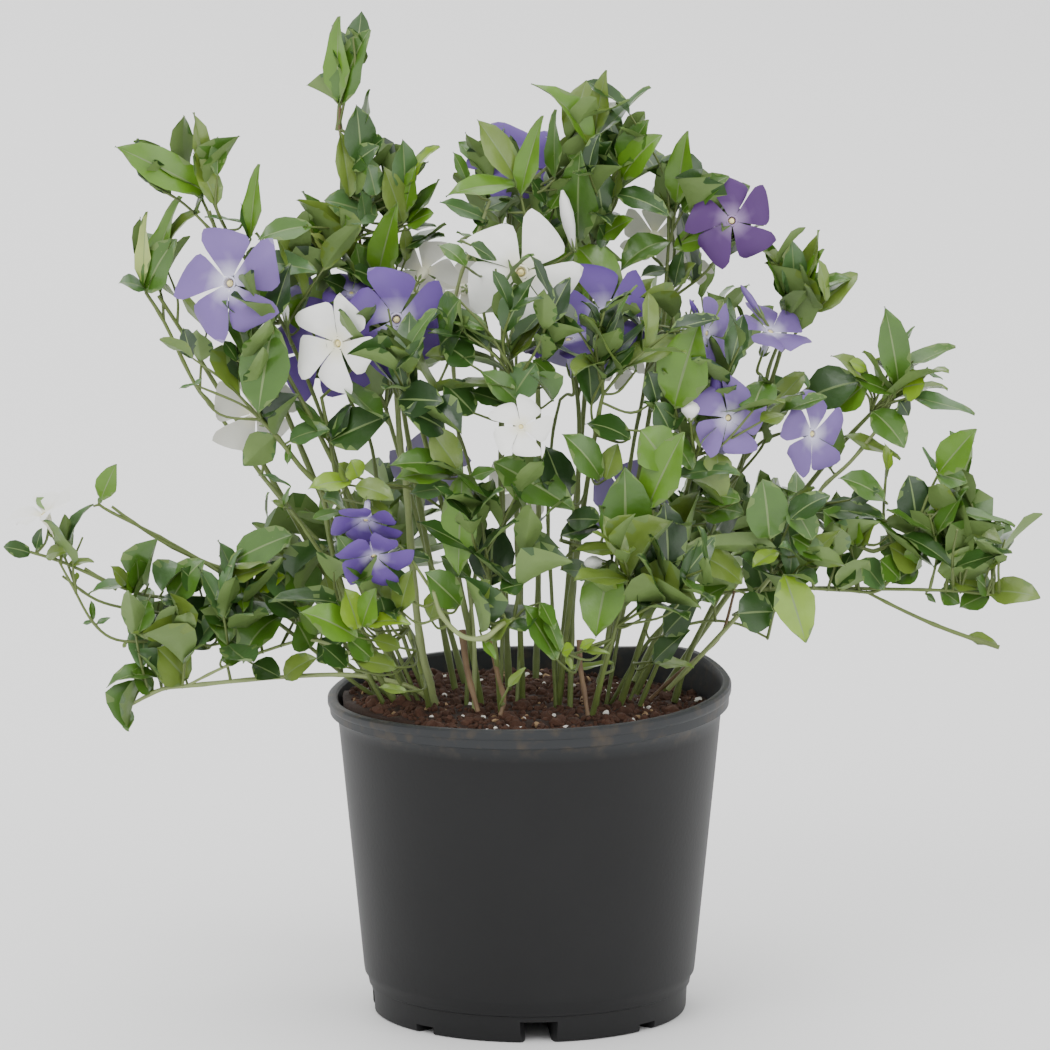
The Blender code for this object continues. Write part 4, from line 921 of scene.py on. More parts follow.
class Plant:
    """What has been grown: stems, twigs and flower stalks, and leaves by group."""

    def __init__(self):
        self.random = random.Random(1753)
        self.stems = []
        self.twigs = []
        self.stalks = []
        self.leaves = {}

    def stem_points(self):
        """Every point of the main stems."""
        return [p for stem in self.stems for p in stem.points]

    def twig_to(self, point, points, thickness=TWIG_THICKNESS, along=UP):
        """A curved twig from the nearest stem to the point, which it reaches along a direction."""
        foot = nearest(point, points)
        gap = (point - foot).length
        if gap < 0.0008:
            return
        middle = (foot + point) / 2 - along.normalized() * gap * 0.16 - UP * gap * 0.06
        self.twigs.append(Stem([point, middle, foot], thickness, GREEN, 0.8))


PLANT = Plant()


def nearest(point, points, drop=0.55):
    """The stem point that a twig leaves from: near the point, and rather below it than above."""
    def cost(p):
        gap = p - point
        return gap.length + drop * max(0.0, gap.z) * 2.0
    return min(points, key=cost)


def shoot_place(path, share):
    """The point of a shoot's path at a share of its length, and the shoot's direction there."""
    last = len(path) - 1
    here = round(share * last)
    spot = path[min(last, here)]
    step = spot - path[max(0, here - 1)]
    if step.length > 1e-6:
        return spot, step.normalized()
    return spot, (path[-1] - path[0]).normalized()


def square_across(along):
    """Two directions across a shoot, square to each other."""
    across = along.cross(UP)
    if across.length < 0.1:
        across = along.cross(VIEW_RIGHT)
    across.normalize()
    return across, along.cross(across)


def grow_shoot(plant, group, foot, tip, tints):
    """A shoot from foot to tip with opposite pairs of leaves, each pair across the one before."""
    rng = plant.random
    long = (tip - foot).length
    sag = Vector((rng.uniform(-1, 1), rng.uniform(-1, 1), rng.uniform(-0.2, 0.8))) * long * SHOOT_SAG
    path = smooth_path([foot, (foot + tip) / 2 + sag, tip], 8)
    count = max(2, int(long / NODE_GAP) + 1)
    tint = rng.choice(tints)
    turn = rng.uniform(0, math.pi)
    kept = 0
    for k in range(count):
        spot, along = shoot_place(path, 1.0 - k / count)
        across, other = square_across(along)
        grown = min(1.0, k / PAIRS_TO_FULL_SIZE)
        length = SHOOT_LEAF * (TIP_LEAF_SHARE + (1 - TIP_LEAF_SHARE) * grown) * rng.uniform(0.82, 1.12)
        opening = math.radians(rng.uniform(38, 58) if k < 2 else rng.uniform(55, 82))
        for half in (0.0, math.pi):
            spin = turn + k * math.pi / 2 + half + rng.uniform(-0.25, 0.25)
            out = across * math.cos(spin) + other * math.sin(spin)
            reach = along * math.cos(opening) + out * math.sin(opening) + UP * LEAF_LIFT
            reach = reach.normalized() * length
            end = spot + reach
            if is_open(end) or is_open(spot + reach * 0.5) or not inside_masses(end) or end.z < LOWEST_TIP:
                continue
            face = along * math.sin(opening) - out * math.cos(opening) + Vector((0, -0.1, 0.75))
            shape = rng.choice(FILL_SHAPES)
            shade = tint if rng.random() < 0.7 else rng.choice(tints)
            width = length * rng.uniform(0.40, 0.52)
            plant.leaves[group].append(Leaf(spot, reach, face, width, shape, shade))
            kept += 1
    if kept:
        plant.twigs.append(Stem(path[::-2] + [path[0]], SHOOT_THICKNESS, GREEN, 0.6))


def fill_mass(plant, points, group, name):
    """Shoots that grow from the nearest stems through one mass."""
    rng = plant.random
    low, high = MASS_BOXES[name]
    middle, half = (low + high) / 2, (high - low) / 2
    size = (half.x * half.y * half.z) ** (1 / 3)
    rearward = 0.5 if group == "back" else 0.25
    for _ in range(max(1, round(SHOOTS[group] * size / MIDDLING_MASS))):
        way = Vector((rng.gauss(0, 1), rng.gauss(0, 1) + rearward, rng.gauss(0.25, 0.8))).normalized()
        tip = middle + way * half * rng.uniform(0.45, 0.86)
        if group.startswith("body"):
            tip.y += BEHIND_FRONT
        foot = nearest(tip - UP * 0.018, points, 0.9)
        if (tip - foot).length > LONGEST_SHOOT:
            foot = foot.lerp(tip, 0.35)
            plant.twig_to(foot, points, SHOOT_THICKNESS)
        grow_shoot(plant, group, foot, tip, FILL_TINTS.get(group, SHADED_FILL_TINTS))


def grow(plant):
    """Grows the plant once: main stems, the leaves that show, and the shoots that fill the masses."""
    if plant.leaves:
        return
    plant.leaves = {group: [] for group in GROUPS}
    for name in STEM_NODES:
        thickness = STEM_THICKNESS if name.startswith("stem") else RUNNER_THICKNESS
        plant.stems.append(Stem(centre_line(name), thickness, GREEN, 0.6))
    for tone, millimetres, places in FRONT_STEMS:
        plant.stems.append(Stem([seen(*p) for p in places], millimetres / 1000.0, tone))
    points = plant.stem_points()
    for group, depth, rows in SPRAYS.values():
        for row in rows:
            leaf = shown_leaf(LeafRow(*row), depth)
            plant.leaves[group].append(leaf)
            plant.twig_to(leaf.base + leaf.reach * 0.03, points, along=leaf.reach)
    for group, names in GROUPS.items():
        for name in names:
            fill_mass(plant, points, group, name)


# Flowers

PETAL_ROWS = (0.0, 0.16, 0.34, 0.54, 0.74, 0.90, 1.0)
PETAL_ACROSS = (-1.0, -0.6, -0.2, 0.2, 0.6, 1.0)
PETAL_THICKNESS = 0.00016
THROAT = 0.12
TUBE_LENGTH = 0.74
SEPAL_LENGTH = 0.26
PALE_REACH = 0.40
FRONT, THROAT_FACE, BACK = range(3)
EYE = ((0.0004, -0.0022), (0.0010, -0.0018), (0.0011, -0.0008), (0.0006, 0.0001))
BUD = ((0.25, 0.0), (0.5, 0.16), (0.92, 0.42), (1.0, 0.62), (0.72, 0.84), (0.2, 1.0))
BUD_SEPAL = ((0.0002, -0.0006), (0.0005, 0.001), (0.0003, 0.003), (0.0001, 0.0045))


def petal_points(radius, cup, wobble, side):
    """Points of one thin petal that lies along +X of a flower looking up +Z."""
    points = []
    for along in PETAL_ROWS:
        for across in PETAL_ACROSS:
            slant = 1.0 - 0.20 * ((1 - across) / 2) ** 1.6 - 0.05 * ((1 + across) / 2) ** 4
            out = radius * (THROAT + (1 - THROAT) * along * (1.0 - (1.0 - slant) * along))
            half = radius * (0.085 + 0.37 * math.sin(math.pi / 2 * min(1.0, along * 1.06)) ** 1.15)
            half *= 1.0 - 0.20 * max(0.0, along - 0.8) / 0.2
            y = across * half + radius * 0.10 * along * along
            z = radius * (cup * along - 0.20 * along ** 2.4 + 0.05 * across * along)
            z += radius * 0.035 * math.sin(3.0 * across + wobble) * along
            z -= radius * 0.06 * across * across * along
            edge = abs(across) == 1.0 or along in (0.0, 1.0)
            points.append((out, y, z + (0.0 if edge else side * PETAL_THICKNESS)))
    return points


class Store:
    """Points, faces, material numbers and pale values that grow into one piece."""

    def __init__(self):
        self.points = []
        self.faces = []
        self.index = []
        self.pale = []

    def add_corolla(self, radius, cup, place, rng):
        """Adds a flower's five petals."""
        across = len(PETAL_ACROSS)
        layer = len(PETAL_ROWS) * across
        for petal in range(5):
            turn = Matrix.Rotation(petal * 2 * math.pi / 5 + rng.uniform(-0.06, 0.06), 4, "Z")
            wobble = rng.uniform(0, 6)
            start = len(self.points)
            reach = radius * rng.uniform(0.97, 1.03)
            for side in (1, -1):
                self.points += [place @ turn @ Vector(p) for p in petal_points(reach, cup, wobble, side)]
                self.pale += [max(0.0, 1.0 - along / (PALE_REACH * (1.0 - 0.45 * abs(a + 0.1))))
                              for along in PETAL_ROWS for a in PETAL_ACROSS]
            for i in range(len(PETAL_ROWS) - 1):
                for j in range(across - 1):
                    a = start + i * across + j
                    quad = (a, a + across, a + across + 1, a + 1)
                    self.faces += [quad, tuple(v + layer for v in reversed(quad))]
                    self.index += [FRONT, BACK]

    def add_turned(self, profile, place, index=FRONT, sides=10):
        """Adds a turned shape of (radius, height) points about a place's Z, closed at both ends."""
        start = len(self.points)
        for radius, height in profile:
            self.points += [place @ round_about(radius, k / sides, height) for k in range(sides)]
        self.pale += [0.0] * (len(profile) * sides)
        for i in range(len(profile) - 1):
            for k in range(sides):
                a = start + i * sides + k
                b = start + i * sides + (k + 1) % sides
                self.faces.append((a, b, b + sides, a + sides))
        last = start + (len(profile) - 1) * sides
        self.faces.append(tuple(start + k for k in reversed(range(sides))))
        self.faces.append(tuple(last + k for k in range(sides)))
        self.index += [index] * ((len(profile) - 1) * sides + 2)

    def piece(self, name, materials):
        """The store's mesh object."""
        obj = mesh_object(name, self.points, self.faces, materials, self.index)
        obj.data.attributes.new("pale", "FLOAT", "POINT").data.foreach_set("value", self.pale)
        outward(obj)
        obj.data.set_sharp_from_angle(angle=math.radians(70))
        return obj


def flower_place(flower):
    """The place of a flower's throat, with Z the way that it looks."""
    turn, lift = math.radians(flower.turn), math.radians(flower.lift)
    looks = (TOWARD * math.cos(turn) * math.cos(lift) + VIEW_RIGHT * math.sin(turn) * math.cos(lift)
             + VIEW_UP * math.sin(lift)).normalized()
    side = VIEW_UP.cross(looks).normalized()
    axes = Matrix((side, looks.cross(side), looks)).transposed().to_4x4()
    centre = seen(flower.column, flower.row, flower.depth)
    return Matrix.Translation(centre) @ axes @ Matrix.Rotation(math.radians(flower.spin), 4, "Z")


def sepal_place(base, number, out, lean):
    """The place of one of five sepals round a base."""
    return (base @ Matrix.Rotation(number * 2 * math.pi / 5, 4, "Z") @ Matrix.Translation((out, 0, 0))
            @ Matrix.Rotation(math.radians(lean), 4, "Y"))


def add_stalk(plant, places):
    """A flower stalk through those places."""
    plant.stalks.append(Stem(places, STALK_THICKNESS, GREEN, 0.9))


def add_flower(plant, flower, petals, eyes, sepals, rng, points):
    """The petals, tube, eye, five sepals and stalk of a flower."""
    place = flower_place(flower)
    radius = flower.width * PIXEL / 2
    petals.add_corolla(radius, flower.cup, place, rng)
    petals.add_turned([(0.0009, -radius * TUBE_LENGTH), (0.0010, -radius * 0.40), (0.0019, -radius * 0.12),
                       (radius * THROAT + 0.0002, 0.0001), (radius * THROAT - 0.0004, 0.0002),
                       (0.0012, -radius * 0.12)], place, THROAT_FACE)
    eyes.add_turned(EYE, place)
    sepal = radius * SEPAL_LENGTH
    profile = ((0.0002, -0.0004), (0.00055, 0.001), (0.0004, sepal * 0.6), (0.0001, sepal))
    base = place @ Matrix.Translation((0, 0, -radius * TUBE_LENGTH))
    for k in range(5):
        sepals.add_turned(profile, sepal_place(base, k, 0.0007, rng.uniform(12, 30)), sides=5)
    end = base @ Vector((0, 0, -0.001))
    looks = (place.to_3x3() @ UP).normalized()
    foot = nearest(end - UP * 0.008, points, 0.9)
    away = end - looks * 0.004 - UP * 0.001
    middle = (foot + away) / 2 + UP * 0.12 * (foot - away).length
    add_stalk(plant, [base @ Vector((0, 0, 0.0006)), away, middle, foot])


def add_bud(plant, bud, petals, sepals, points):
    """A furled bud with its sepals and stalk."""
    foot = seen(bud.column, bud.row, bud.depth)
    axis = seen(bud.tip_column, bud.tip_row, bud.depth) - foot
    place = Matrix.Translation(foot) @ axis.to_track_quat("Z", "Y").to_matrix().to_4x4()
    half = bud.width * PIXEL / 2
    petals.add_turned([(half * r, axis.length * h) for r, h in BUD], place)
    for k in range(5):
        sepals.add_turned(BUD_SEPAL, sepal_place(place, k, half * 0.3, 10), sides=5)
    knot = nearest(foot - UP * 0.006, points, 0.9)
    add_stalk(plant, [foot, (foot + knot) / 2 - axis.normalized() * 0.002, knot])


def petal_materials(label, base, pale):
    """The front, throat and back of a colour of petals."""
    back = tuple(0.55 * a + 0.25 * b for a, b in zip(base, pale))
    materials = [surface(f"petal_{label}", base, 0.55, 0.10, 90.0, 0.12, 500.0),
                 surface(f"petal_{label}_throat", pale, 0.6, 0.06, 200.0, 0.08, 500.0),
                 surface(f"petal_{label}_back", back, 0.6, 0.08, 90.0, 0.1, 500.0)]
    for material in (materials[FRONT], materials[BACK]):
        value = add_node(material.node_tree, "ShaderNodeAttribute", attribute_name="pale")
        fade(material, pale, value.outputs["Fac"])
    return materials


# Pot

def pot_profile():
    """Outline of the pot's section from the middle of its underside, out, up and down inside."""
    rise = BODY_TOP_HEIGHT - BODY_FOOT_HEIGHT
    body = [(BODY_FOOT + (BODY_TOP - BODY_FOOT) * t, BODY_FOOT_HEIGHT + rise * t)
            for t in (0.04, 0.2, 0.4, 0.6, 0.8, 0.96, 1.0)]
    return [(0.0, RAISED_HEIGHT), (RAISED_RADIUS, RAISED_HEIGHT), (RAISED_RADIUS + 0.0008, 0.0062),
            (RAISED_RADIUS + 0.0008, 0.0010), (RAISED_RADIUS + 0.0016, 0.0),
            (FOOT_RADIUS - 0.0012, 0.0), (FOOT_RADIUS - 0.0003, 0.0003), (FOOT_RADIUS, 0.0012),
            (FOOT_RADIUS + 0.0004, FOOT_STEP - 0.0004), (FOOT_RADIUS + 0.0012, FOOT_STEP),
            (BODY_FOOT - 0.0012, FOOT_STEP + 0.0022), (BODY_FOOT - 0.0002, BODY_FOOT_HEIGHT - 0.0012),
            (BODY_FOOT, BODY_FOOT_HEIGHT), *body,
            (BODY_TOP + 0.0008, RIM_FOOT - 0.0005), (BODY_TOP + 0.0014, RIM_FOOT),
            (RIM_RADIUS - 0.0012, RIM_FOOT), (RIM_RADIUS - 0.0008, RIM_FOOT + 0.0003),
            (RIM_RADIUS - 0.0006, 0.1020), (RIM_RADIUS - 0.0002, 0.1024), (RIM_RADIUS, 0.1030),
            (RIM_RADIUS, 0.1046), (RIM_RADIUS - 0.0006, 0.1053), (RIM_RADIUS - 0.0016, POT_HEIGHT),
            (RIM_RADIUS - 0.0026, 0.1053), (RIM_RADIUS - 0.0032, 0.1046), (RIM_RADIUS - 0.0034, 0.1030),
            (BODY_TOP - WALL, RIM_FOOT - 0.0005), (BODY_FOOT - WALL, BODY_FOOT_HEIGHT),
            (BODY_FOOT - WALL - 0.002, POT_FLOOR), (0.0, POT_FLOOR)]


def rim_lift(angle, height):
    """How far the bent rim stands above or below a level one."""
    bends_from = 0.085
    share = max(0.0, (height - bends_from) / (POT_HEIGHT - bends_from))
    back_right = math.exp(-((angle - math.radians(38)) / 0.34) ** 2)
    wave = 0.0021 * math.cos(angle) + 0.0004 * math.sin(3 * angle + 1.0) + 0.0028 * back_right
    return share ** 1.5 * wave


def turned_pot(steps):
    """The pot's wall, floor and rim, before its foot is cut."""
    bm = bmesh.new()
    rows = []
    for radius, height in pot_profile():
        if radius == 0.0:
            rows.append([bm.verts.new((0, 0, height))] * steps)
            continue
        ring = [round_about(radius, k / steps, height) for k in range(steps)]
        for point in ring:
            point.z += rim_lift(math.atan2(point.y, point.x), height)
        rows.append([bm.verts.new(point) for point in ring])
    for low, high in zip(rows, rows[1:]):
        for k in range(steps):
            corners = [low[k], low[(k + 1) % steps], high[(k + 1) % steps], high[k]]
            bm.faces.new([v for i, v in enumerate(corners) if v not in corners[:i]])
    return from_bmesh("pot_wall", bm)


def add_prism(points, faces, outline, high, place):
    """Adds a prism over an outline, from under the pot to a height."""
    start, count = len(points), len(outline)
    for z in (-0.002, high):
        points.extend(place @ Vector((x, y, z)) for x, y in outline)
    faces.append(tuple(start + i for i in reversed(range(count))))
    faces.append(tuple(start + count + i for i in range(count)))
    for i in range(count):
        j = (i + 1) % count
        faces.append((start + i, start + j, start + count + j, start + count + i))


def foot_cutters():
    """Eight flared channels across the foot and four drain holes, as closed prisms."""
    points, faces = [], []
    flare = FOOT_RADIUS - CHANNEL_FLARE
    for k in range(8):
        inner, outer, height = CHANNELS[k % 2]
        curve = [(flare + 2 * CHANNEL_FLARE * t, inner + (outer - inner) * t * t)
                 for t in (0.0, 0.25, 0.5, 0.75, 1.0)]
        outline = [(CHANNEL_START, -inner)] + [(x, -y) for x, y in curve] + curve[::-1]
        place = Matrix.Rotation(POT_TURN - math.pi / 2 + k * math.pi / 4, 4, "Z")
        add_prism(points, faces, outline + [(CHANNEL_START, inner)], height, place)
    circle = [tuple(round_about(DRAIN_RADIUS, k / 20, 0.0).xy) for k in range(20)]
    for k in range(4):
        turn = Matrix.Rotation(math.pi / 4 + k * math.pi / 2, 4, "Z")
        add_prism(points, faces, circle, 0.0125, turn @ Matrix.Translation((DRAIN_PLACE, 0, 0)))
    return outward(mesh_object("foot_cutters", points, faces, smooth=False))


def pot_plastic(colour):
    """Satin black plastic with a greyer rim that is stained brown in places."""
    material = surface("pot_black_plastic", colour, 0.50, 0.25, 26.0, 0.10, 700.0,
                       second=scaled(colour, 1.4, 0.001))
    tree = material.node_tree
    tree.nodes["Principled BSDF"].inputs["Specular IOR Level"].default_value = 0.28
    place = add_node(tree, "ShaderNodeTexCoord").outputs["Object"]
    height = add_node(tree, "ShaderNodeSeparateXYZ", {0: place}).outputs["Z"]
    rim = add_node(tree, "ShaderNodeMapRange", {"Value": height, "From Min": 0.094, "From Max": 0.099})
    dust = add_node(tree, "ShaderNodeTexNoise", {"Vector": place, "Scale": 190.0, "Detail": 6.0})
    patch = add_node(tree, "ShaderNodeMapRange", {
        "Value": dust.outputs["Fac"], "From Min": 0.50, "From Max": 0.72})
    stain = add_node(tree, "ShaderNodeMath", {0: patch.outputs["Result"], 1: rim.outputs["Result"]},
                     operation="MULTIPLY")
    fade(material, (0.022, 0.024, 0.026), rim.outputs["Result"])
    return fade(material, (0.050, 0.040, 0.030), stain.outputs[0])


# Potting mix

def soil_height(x, y):
    """Height of the potting mix, which falls away to the back right."""
    reach = math.hypot(x, y) / (RIM_RADIUS - 0.004)
    slope = -0.0022 * (x / RIM_RADIUS) - 0.0035 * max(-0.4, y / RIM_RADIUS)
    rough = 0.0016 * noise.noise(Vector((x, y, 0.0)) * 110.0)
    rough += 0.0008 * noise.noise(Vector((x, y, 1.0)) * 330.0)
    return SOIL_LEVEL + SOIL_MOUND * (1 - reach * reach) + slope + rough


def soil_body():
    """The potting mix as one closed plug with an uneven top."""
    rings, steps = 22, 96
    outer = BODY_TOP - WALL - 0.0002
    bm = bmesh.new()
    centre = bm.verts.new((0, 0, soil_height(0, 0)))
    rows = []
    for i in range(1, rings + 1):
        ring = [round_about(outer * i / rings, k / steps, 0.0) for k in range(steps)]
        rows.append([bm.verts.new((p.x, p.y, soil_height(p.x, p.y))) for p in ring])
    rows.append([bm.verts.new((v.co.x * 0.975, v.co.y * 0.975, SOIL_BOTTOM)) for v in rows[-1]])
    for k in range(steps):
        bm.faces.new((centre, rows[0][k], rows[0][(k + 1) % steps]))
    for low, high in zip(rows, rows[1:]):
        for k in range(steps):
            bm.faces.new((low[k], high[k], high[(k + 1) % steps], low[(k + 1) % steps]))
    bm.faces.new(rows[-1][::-1])
    bmesh.ops.recalc_face_normals(bm, faces=bm.faces)
    return from_bmesh("potting_mix", bm)


def soil_top(bed, name):
    """The part of the potting mix's skin that crumbs lie on."""
    top = new_object(name, bed.data.copy())
    bm = bmesh.new()
    bm.from_mesh(top.data)
    rest = [f for f in bm.faces if f.normal.z < 0.5 or f.calc_center_median().xy.length > CRUMB_REACH]
    bmesh.ops.delete(bm, geom=rest, context="FACES")
    bm.to_mesh(top.data)
    bm.free()
    return top


def dented_ball(tree, size):
    """A small ball, dented by a noise."""
    ball = add_node(tree, "GeometryNodeMeshIcoSphere", {"Radius": size, "Subdivisions": 2})
    grain = add_node(tree, "ShaderNodeTexNoise", {"Scale": 900.0})
    shift = add_node(tree, "ShaderNodeVectorMath", {0: grain.outputs["Color"], 1: (0.5, 0.5, 0.5)},
                     operation="SUBTRACT")
    shrink = add_node(tree, "ShaderNodeVectorMath", {0: shift.outputs["Vector"], "Scale": size},
                      operation="SCALE")
    return add_node(tree, "GeometryNodeSetPosition", {
        "Geometry": ball.outputs["Mesh"], "Offset": shrink.outputs["Vector"]}).outputs["Geometry"]


def crumb_tree(name, material, spread):
    """Node tree that strews uneven crumbs over a surface. Their sizes spread about the middling one."""
    tree, start = node_group(name, [
        ("Density", "NodeSocketFloat", 9000.0), ("Size", "NodeSocketFloat", 0.001),
        ("Seed", "NodeSocketInt", 0)])
    strew = add_node(tree, "GeometryNodeDistributePointsOnFaces", {
        "Mesh": start["Geometry"], "Density": start["Density"], "Seed": start["Seed"]})
    least = (1 - spread, 1 - spread, 0.7 - 0.5 * spread)
    most = (1 + spread, 1 + spread, 0.9 + spread)
    scale = add_node(tree, "FunctionNodeRandomValue", {0: least, 1: most, "Seed": start["Seed"]},
                     data_type="FLOAT_VECTOR")
    turn = add_node(tree, "FunctionNodeRandomValue", {1: (6.28, 6.28, 6.28), "Seed": start["Seed"]},
                    data_type="FLOAT_VECTOR")
    crumbs = add_node(tree, "GeometryNodeInstanceOnPoints", {
        "Points": strew.outputs["Points"], "Instance": dented_ball(tree, start["Size"]),
        "Scale": scale.outputs[0], "Rotation": turn.outputs[0]})
    return end_tree(tree, painted(tree, realized(tree, crumbs.outputs["Instances"]), material))


# Settings

def colour_property(name, description, default):
    """A colour setting."""
    return bpy.props.FloatVectorProperty(
        name=name, description=description, subtype="COLOR", size=3, default=default, min=0, max=1)


class PotSettings(bpy.types.PropertyGroup):
    """The pot's plastic and how finely it is turned"""
    plastic: colour_property("Plastic", "Colour of the pot's plastic", (0.0055, 0.0056, 0.0060))
    steps: bpy.props.IntProperty(
        name="Steps", description="Steps round the pot", default=144, min=36, max=288)


class SoilSettings(bpy.types.PropertyGroup):
    """The potting mix and its crumbs"""
    mix: colour_property("Mix", "Colour of the moist potting mix", (0.035, 0.015, 0.008))
    crumb: bpy.props.FloatProperty(
        name="Crumb", description="Size of a middling crumb", subtype="DISTANCE", unit="LENGTH",
        default=0.0010, min=0.0002, max=0.004)


class StemSettings(bpy.types.PropertyGroup):
    """The stems' green and their section"""
    green: colour_property("Green", "Colour of the young stems", (0.095, 0.130, 0.030))
    sides: bpy.props.IntProperty(
        name="Sides", description="Sides of a stem's section", default=8, min=5, max=16)


class LeafSettings(bpy.types.PropertyGroup):
    """The leaves' size and undersides"""
    size: bpy.props.FloatProperty(
        name="Size", description="Scale of every leaf", default=1.0, min=0.5, max=1.5)
    underside: colour_property("Underside", "Colour of the leaves' undersides", (0.120, 0.190, 0.050))


class FlowerSettings(bpy.types.PropertyGroup):
    """The flowers' eyes"""
    eye: colour_property("Eye", "Colour of the flowers' eyes", (0.75, 0.66, 0.30))


class StageSettings(bpy.types.PropertyGroup):
    """The floor and the lights"""
    floor: colour_property("Floor", "Colour of the floor", (0.86, 0.86, 0.86))
    key: bpy.props.FloatProperty(
        name="Key", description="Strength of the main light", unit="POWER", subtype="POWER",
        default=26.0, min=0)


# Operators

class BuildPot(bpy.types.Operator):
    """Turn the pot, bend its rim and cut its foot"""
    bl_idname = "periwinkle.pot"
    bl_label = "Pot"

    def execute(self, context):
        settings = context.scene.periwinkle_pot
        wall = turned_pot(settings.steps)
        cutters = foot_cutters()
        cut = wall.modifiers.new("foot", "BOOLEAN")
        cut.object = cutters
        cut.operation = "DIFFERENCE"
        cut.solver = "MANIFOLD"
        piece = as_mesh(wall, "nursery_pot")
        bpy.data.objects.remove(cutters)
        if piece.dimensions.z < POT_HEIGHT / 2:
            raise RuntimeError("The pot's wall was lost when its foot was cut")
        mesh = piece.data
        mesh.materials.clear()
        mesh.materials.append(pot_plastic(tuple(settings.plastic)))
        mesh.polygons.foreach_set("use_smooth", np.full(len(mesh.polygons), True))
        mesh.polygons.foreach_set("material_index", np.zeros(len(mesh.polygons), np.int32))
        mesh.set_sharp_from_angle(angle=math.radians(32))
        finish_piece(piece, ["pot"])
        return {"FINISHED"}


class BuildSoil(bpy.types.Operator):
    """Fill the pot with potting mix and strew it with crumbs, root chips and perlite"""
    bl_idname = "periwinkle.soil"
    bl_label = "Potting mix"

    def execute(self, context):
        settings = context.scene.periwinkle_soil
        colour = tuple(settings.mix)
        bed = soil_body()
        bed.data.materials.append(surface("moist_mix", scaled(colour, 0.6), 0.9, 0.4, 500.0, 0.8, 900.0))
        crumbs = surface("mix_crumbs", colour, 0.9, 0.45, 300.0, 0.6, 1800.0,
                         second=(0.105, 0.042, 0.022))
        chips = surface("pale_root_chips", (0.26, 0.17, 0.09), 0.8, 0.4, 260.0, 0.5, 1500.0)
        perlite = surface("perlite_white", (0.72, 0.70, 0.66), 0.85, 0.15, 700.0, 0.6, 1800.0)
        for name, material, seed, density, size, spread, slot_name in (
                ("mix_crumbs_fine", crumbs, 11, 150000.0, 1.0, 0.5, "potting_mix"),
                ("mix_crumbs_coarse", crumbs, 12, 16000.0, 2.1, 0.5, "potting_mix"),
                ("root_chips", chips, 13, 9000.0, 0.9, 0.7, "potting_mix"),
                ("perlite_grains", perlite, 14, 7000.0, 1.0, 0.5, "perlite")):
            values = {"Density": density, "Size": settings.crumb * size, "Seed": seed}
            top = soil_top(bed, name + "_bed")
            finish_piece(grown_by(top, crumb_tree(name, material, spread), values, name))
        finish_piece(bed, ["soil"])
        return {"FINISHED"}


class BuildStems(bpy.types.Operator):
    """Run the stems and runners from the potting mix to the leaves"""
    bl_idname = "periwinkle.stems"
    bl_label = "Stems"

    def execute(self, context):
        grow(PLANT)
        green = tuple(context.scene.periwinkle_stems.green)
        tones = (
            ("green", surface("stem_green", green, 0.5, 0.25, 160.0, 0.35, 1500.0)),
            ("brown", surface("stem_brown", (0.120, 0.058, 0.030), 0.6, 0.4, 220.0, 0.5, 1500.0,
                              second=(0.20, 0.13, 0.06))),
            ("pale", surface("stem_pale", (0.190, 0.235, 0.085), 0.5, 0.2, 160.0, 0.3, 1500.0)),
        )
        for tone, (label, material) in enumerate(tones):
            stems = [s for s in PLANT.stems if s.tone == tone]
            piece = stem_piece(f"stems_{label}", stems, material)
            finish_piece(piece, STEM_NODES if tone == GREEN else ())
        return {"FINISHED"}


class BuildLeaves(bpy.types.Operator):
    """Hang the leaves, group by group"""
    bl_idname = "periwinkle.leaves"
    bl_label = "Leaves"

    def execute(self, context):
        grow(PLANT)
        settings = context.scene.periwinkle_leaves
        materials = [surface("leaf_" + label, colour, 0.34, 0.16, 120.0, 0.30, 520.0, 0.28)
                     for label, colour in LEAF_COLOURS]
        rib = surface("leaf_rib", (0.150, 0.215, 0.075), 0.42, 0.1, 300.0, 0.1, 900.0, 0.1)
        underside = surface("leaf_underside", tuple(settings.underside), 0.55, 0.12, 160.0, 0.25, 600.0)
        shapes = bpy.data.collections.new("leaf_shapes")
        made = [leaf_shape(n) for n in range(len(LEAF_SHAPES))]
        for obj in made:
            shapes.objects.link(obj)
        tree = leaf_tree(materials, rib, underside)
        for group, names in GROUPS.items():
            piece = leaf_piece("leaves_" + group, PLANT.leaves[group], tree, shapes)
            finish_piece(piece, names)
        for obj in made:
            bpy.data.objects.remove(obj)
        bpy.data.collections.remove(shapes)
        return {"FINISHED"}


class BuildFlowers(bpy.types.Operator):
    """Open the flowers: five skewed petals on a tube, with eye, sepals and stalk"""
    bl_idname = "periwinkle.flowers"
    bl_label = "Flowers and buds"

    def execute(self, context):
        grow(PLANT)
        rng = random.Random(88)
        points = PLANT.stem_points()
        petals = [Store() for _ in PETAL_COLOURS]
        eyes, sepals = Store(), Store()
        for row in FLOWERS:
            flower = FlowerRow(*row)
            add_flower(PLANT, flower, petals[flower.colour], eyes, sepals, rng, points)
        for row in PALE_BUDS:
            bud = BudRow(*row)
            add_bud(PLANT, bud, petals[bud.colour], sepals, points)
        for (label, base, pale), store in zip(PETAL_COLOURS, petals):
            materials = petal_materials(label, base, pale)
            finish_piece(store.piece(f"petals_{label}", materials))
        cream = tuple(context.scene.periwinkle_flowers.eye)
        eye = surface("flower_eye_cream", cream, 0.6, 0.3, 900.0, 0.3, 2500.0)
        finish_piece(eyes.piece("flower_eyes", [eye]))
        green = surface("sepal_green", (0.110, 0.160, 0.045), 0.5, 0.2, 300.0, 0.2, 1500.0)
        finish_piece(sepals.piece("flower_sepals", [green]))
        return {"FINISHED"}


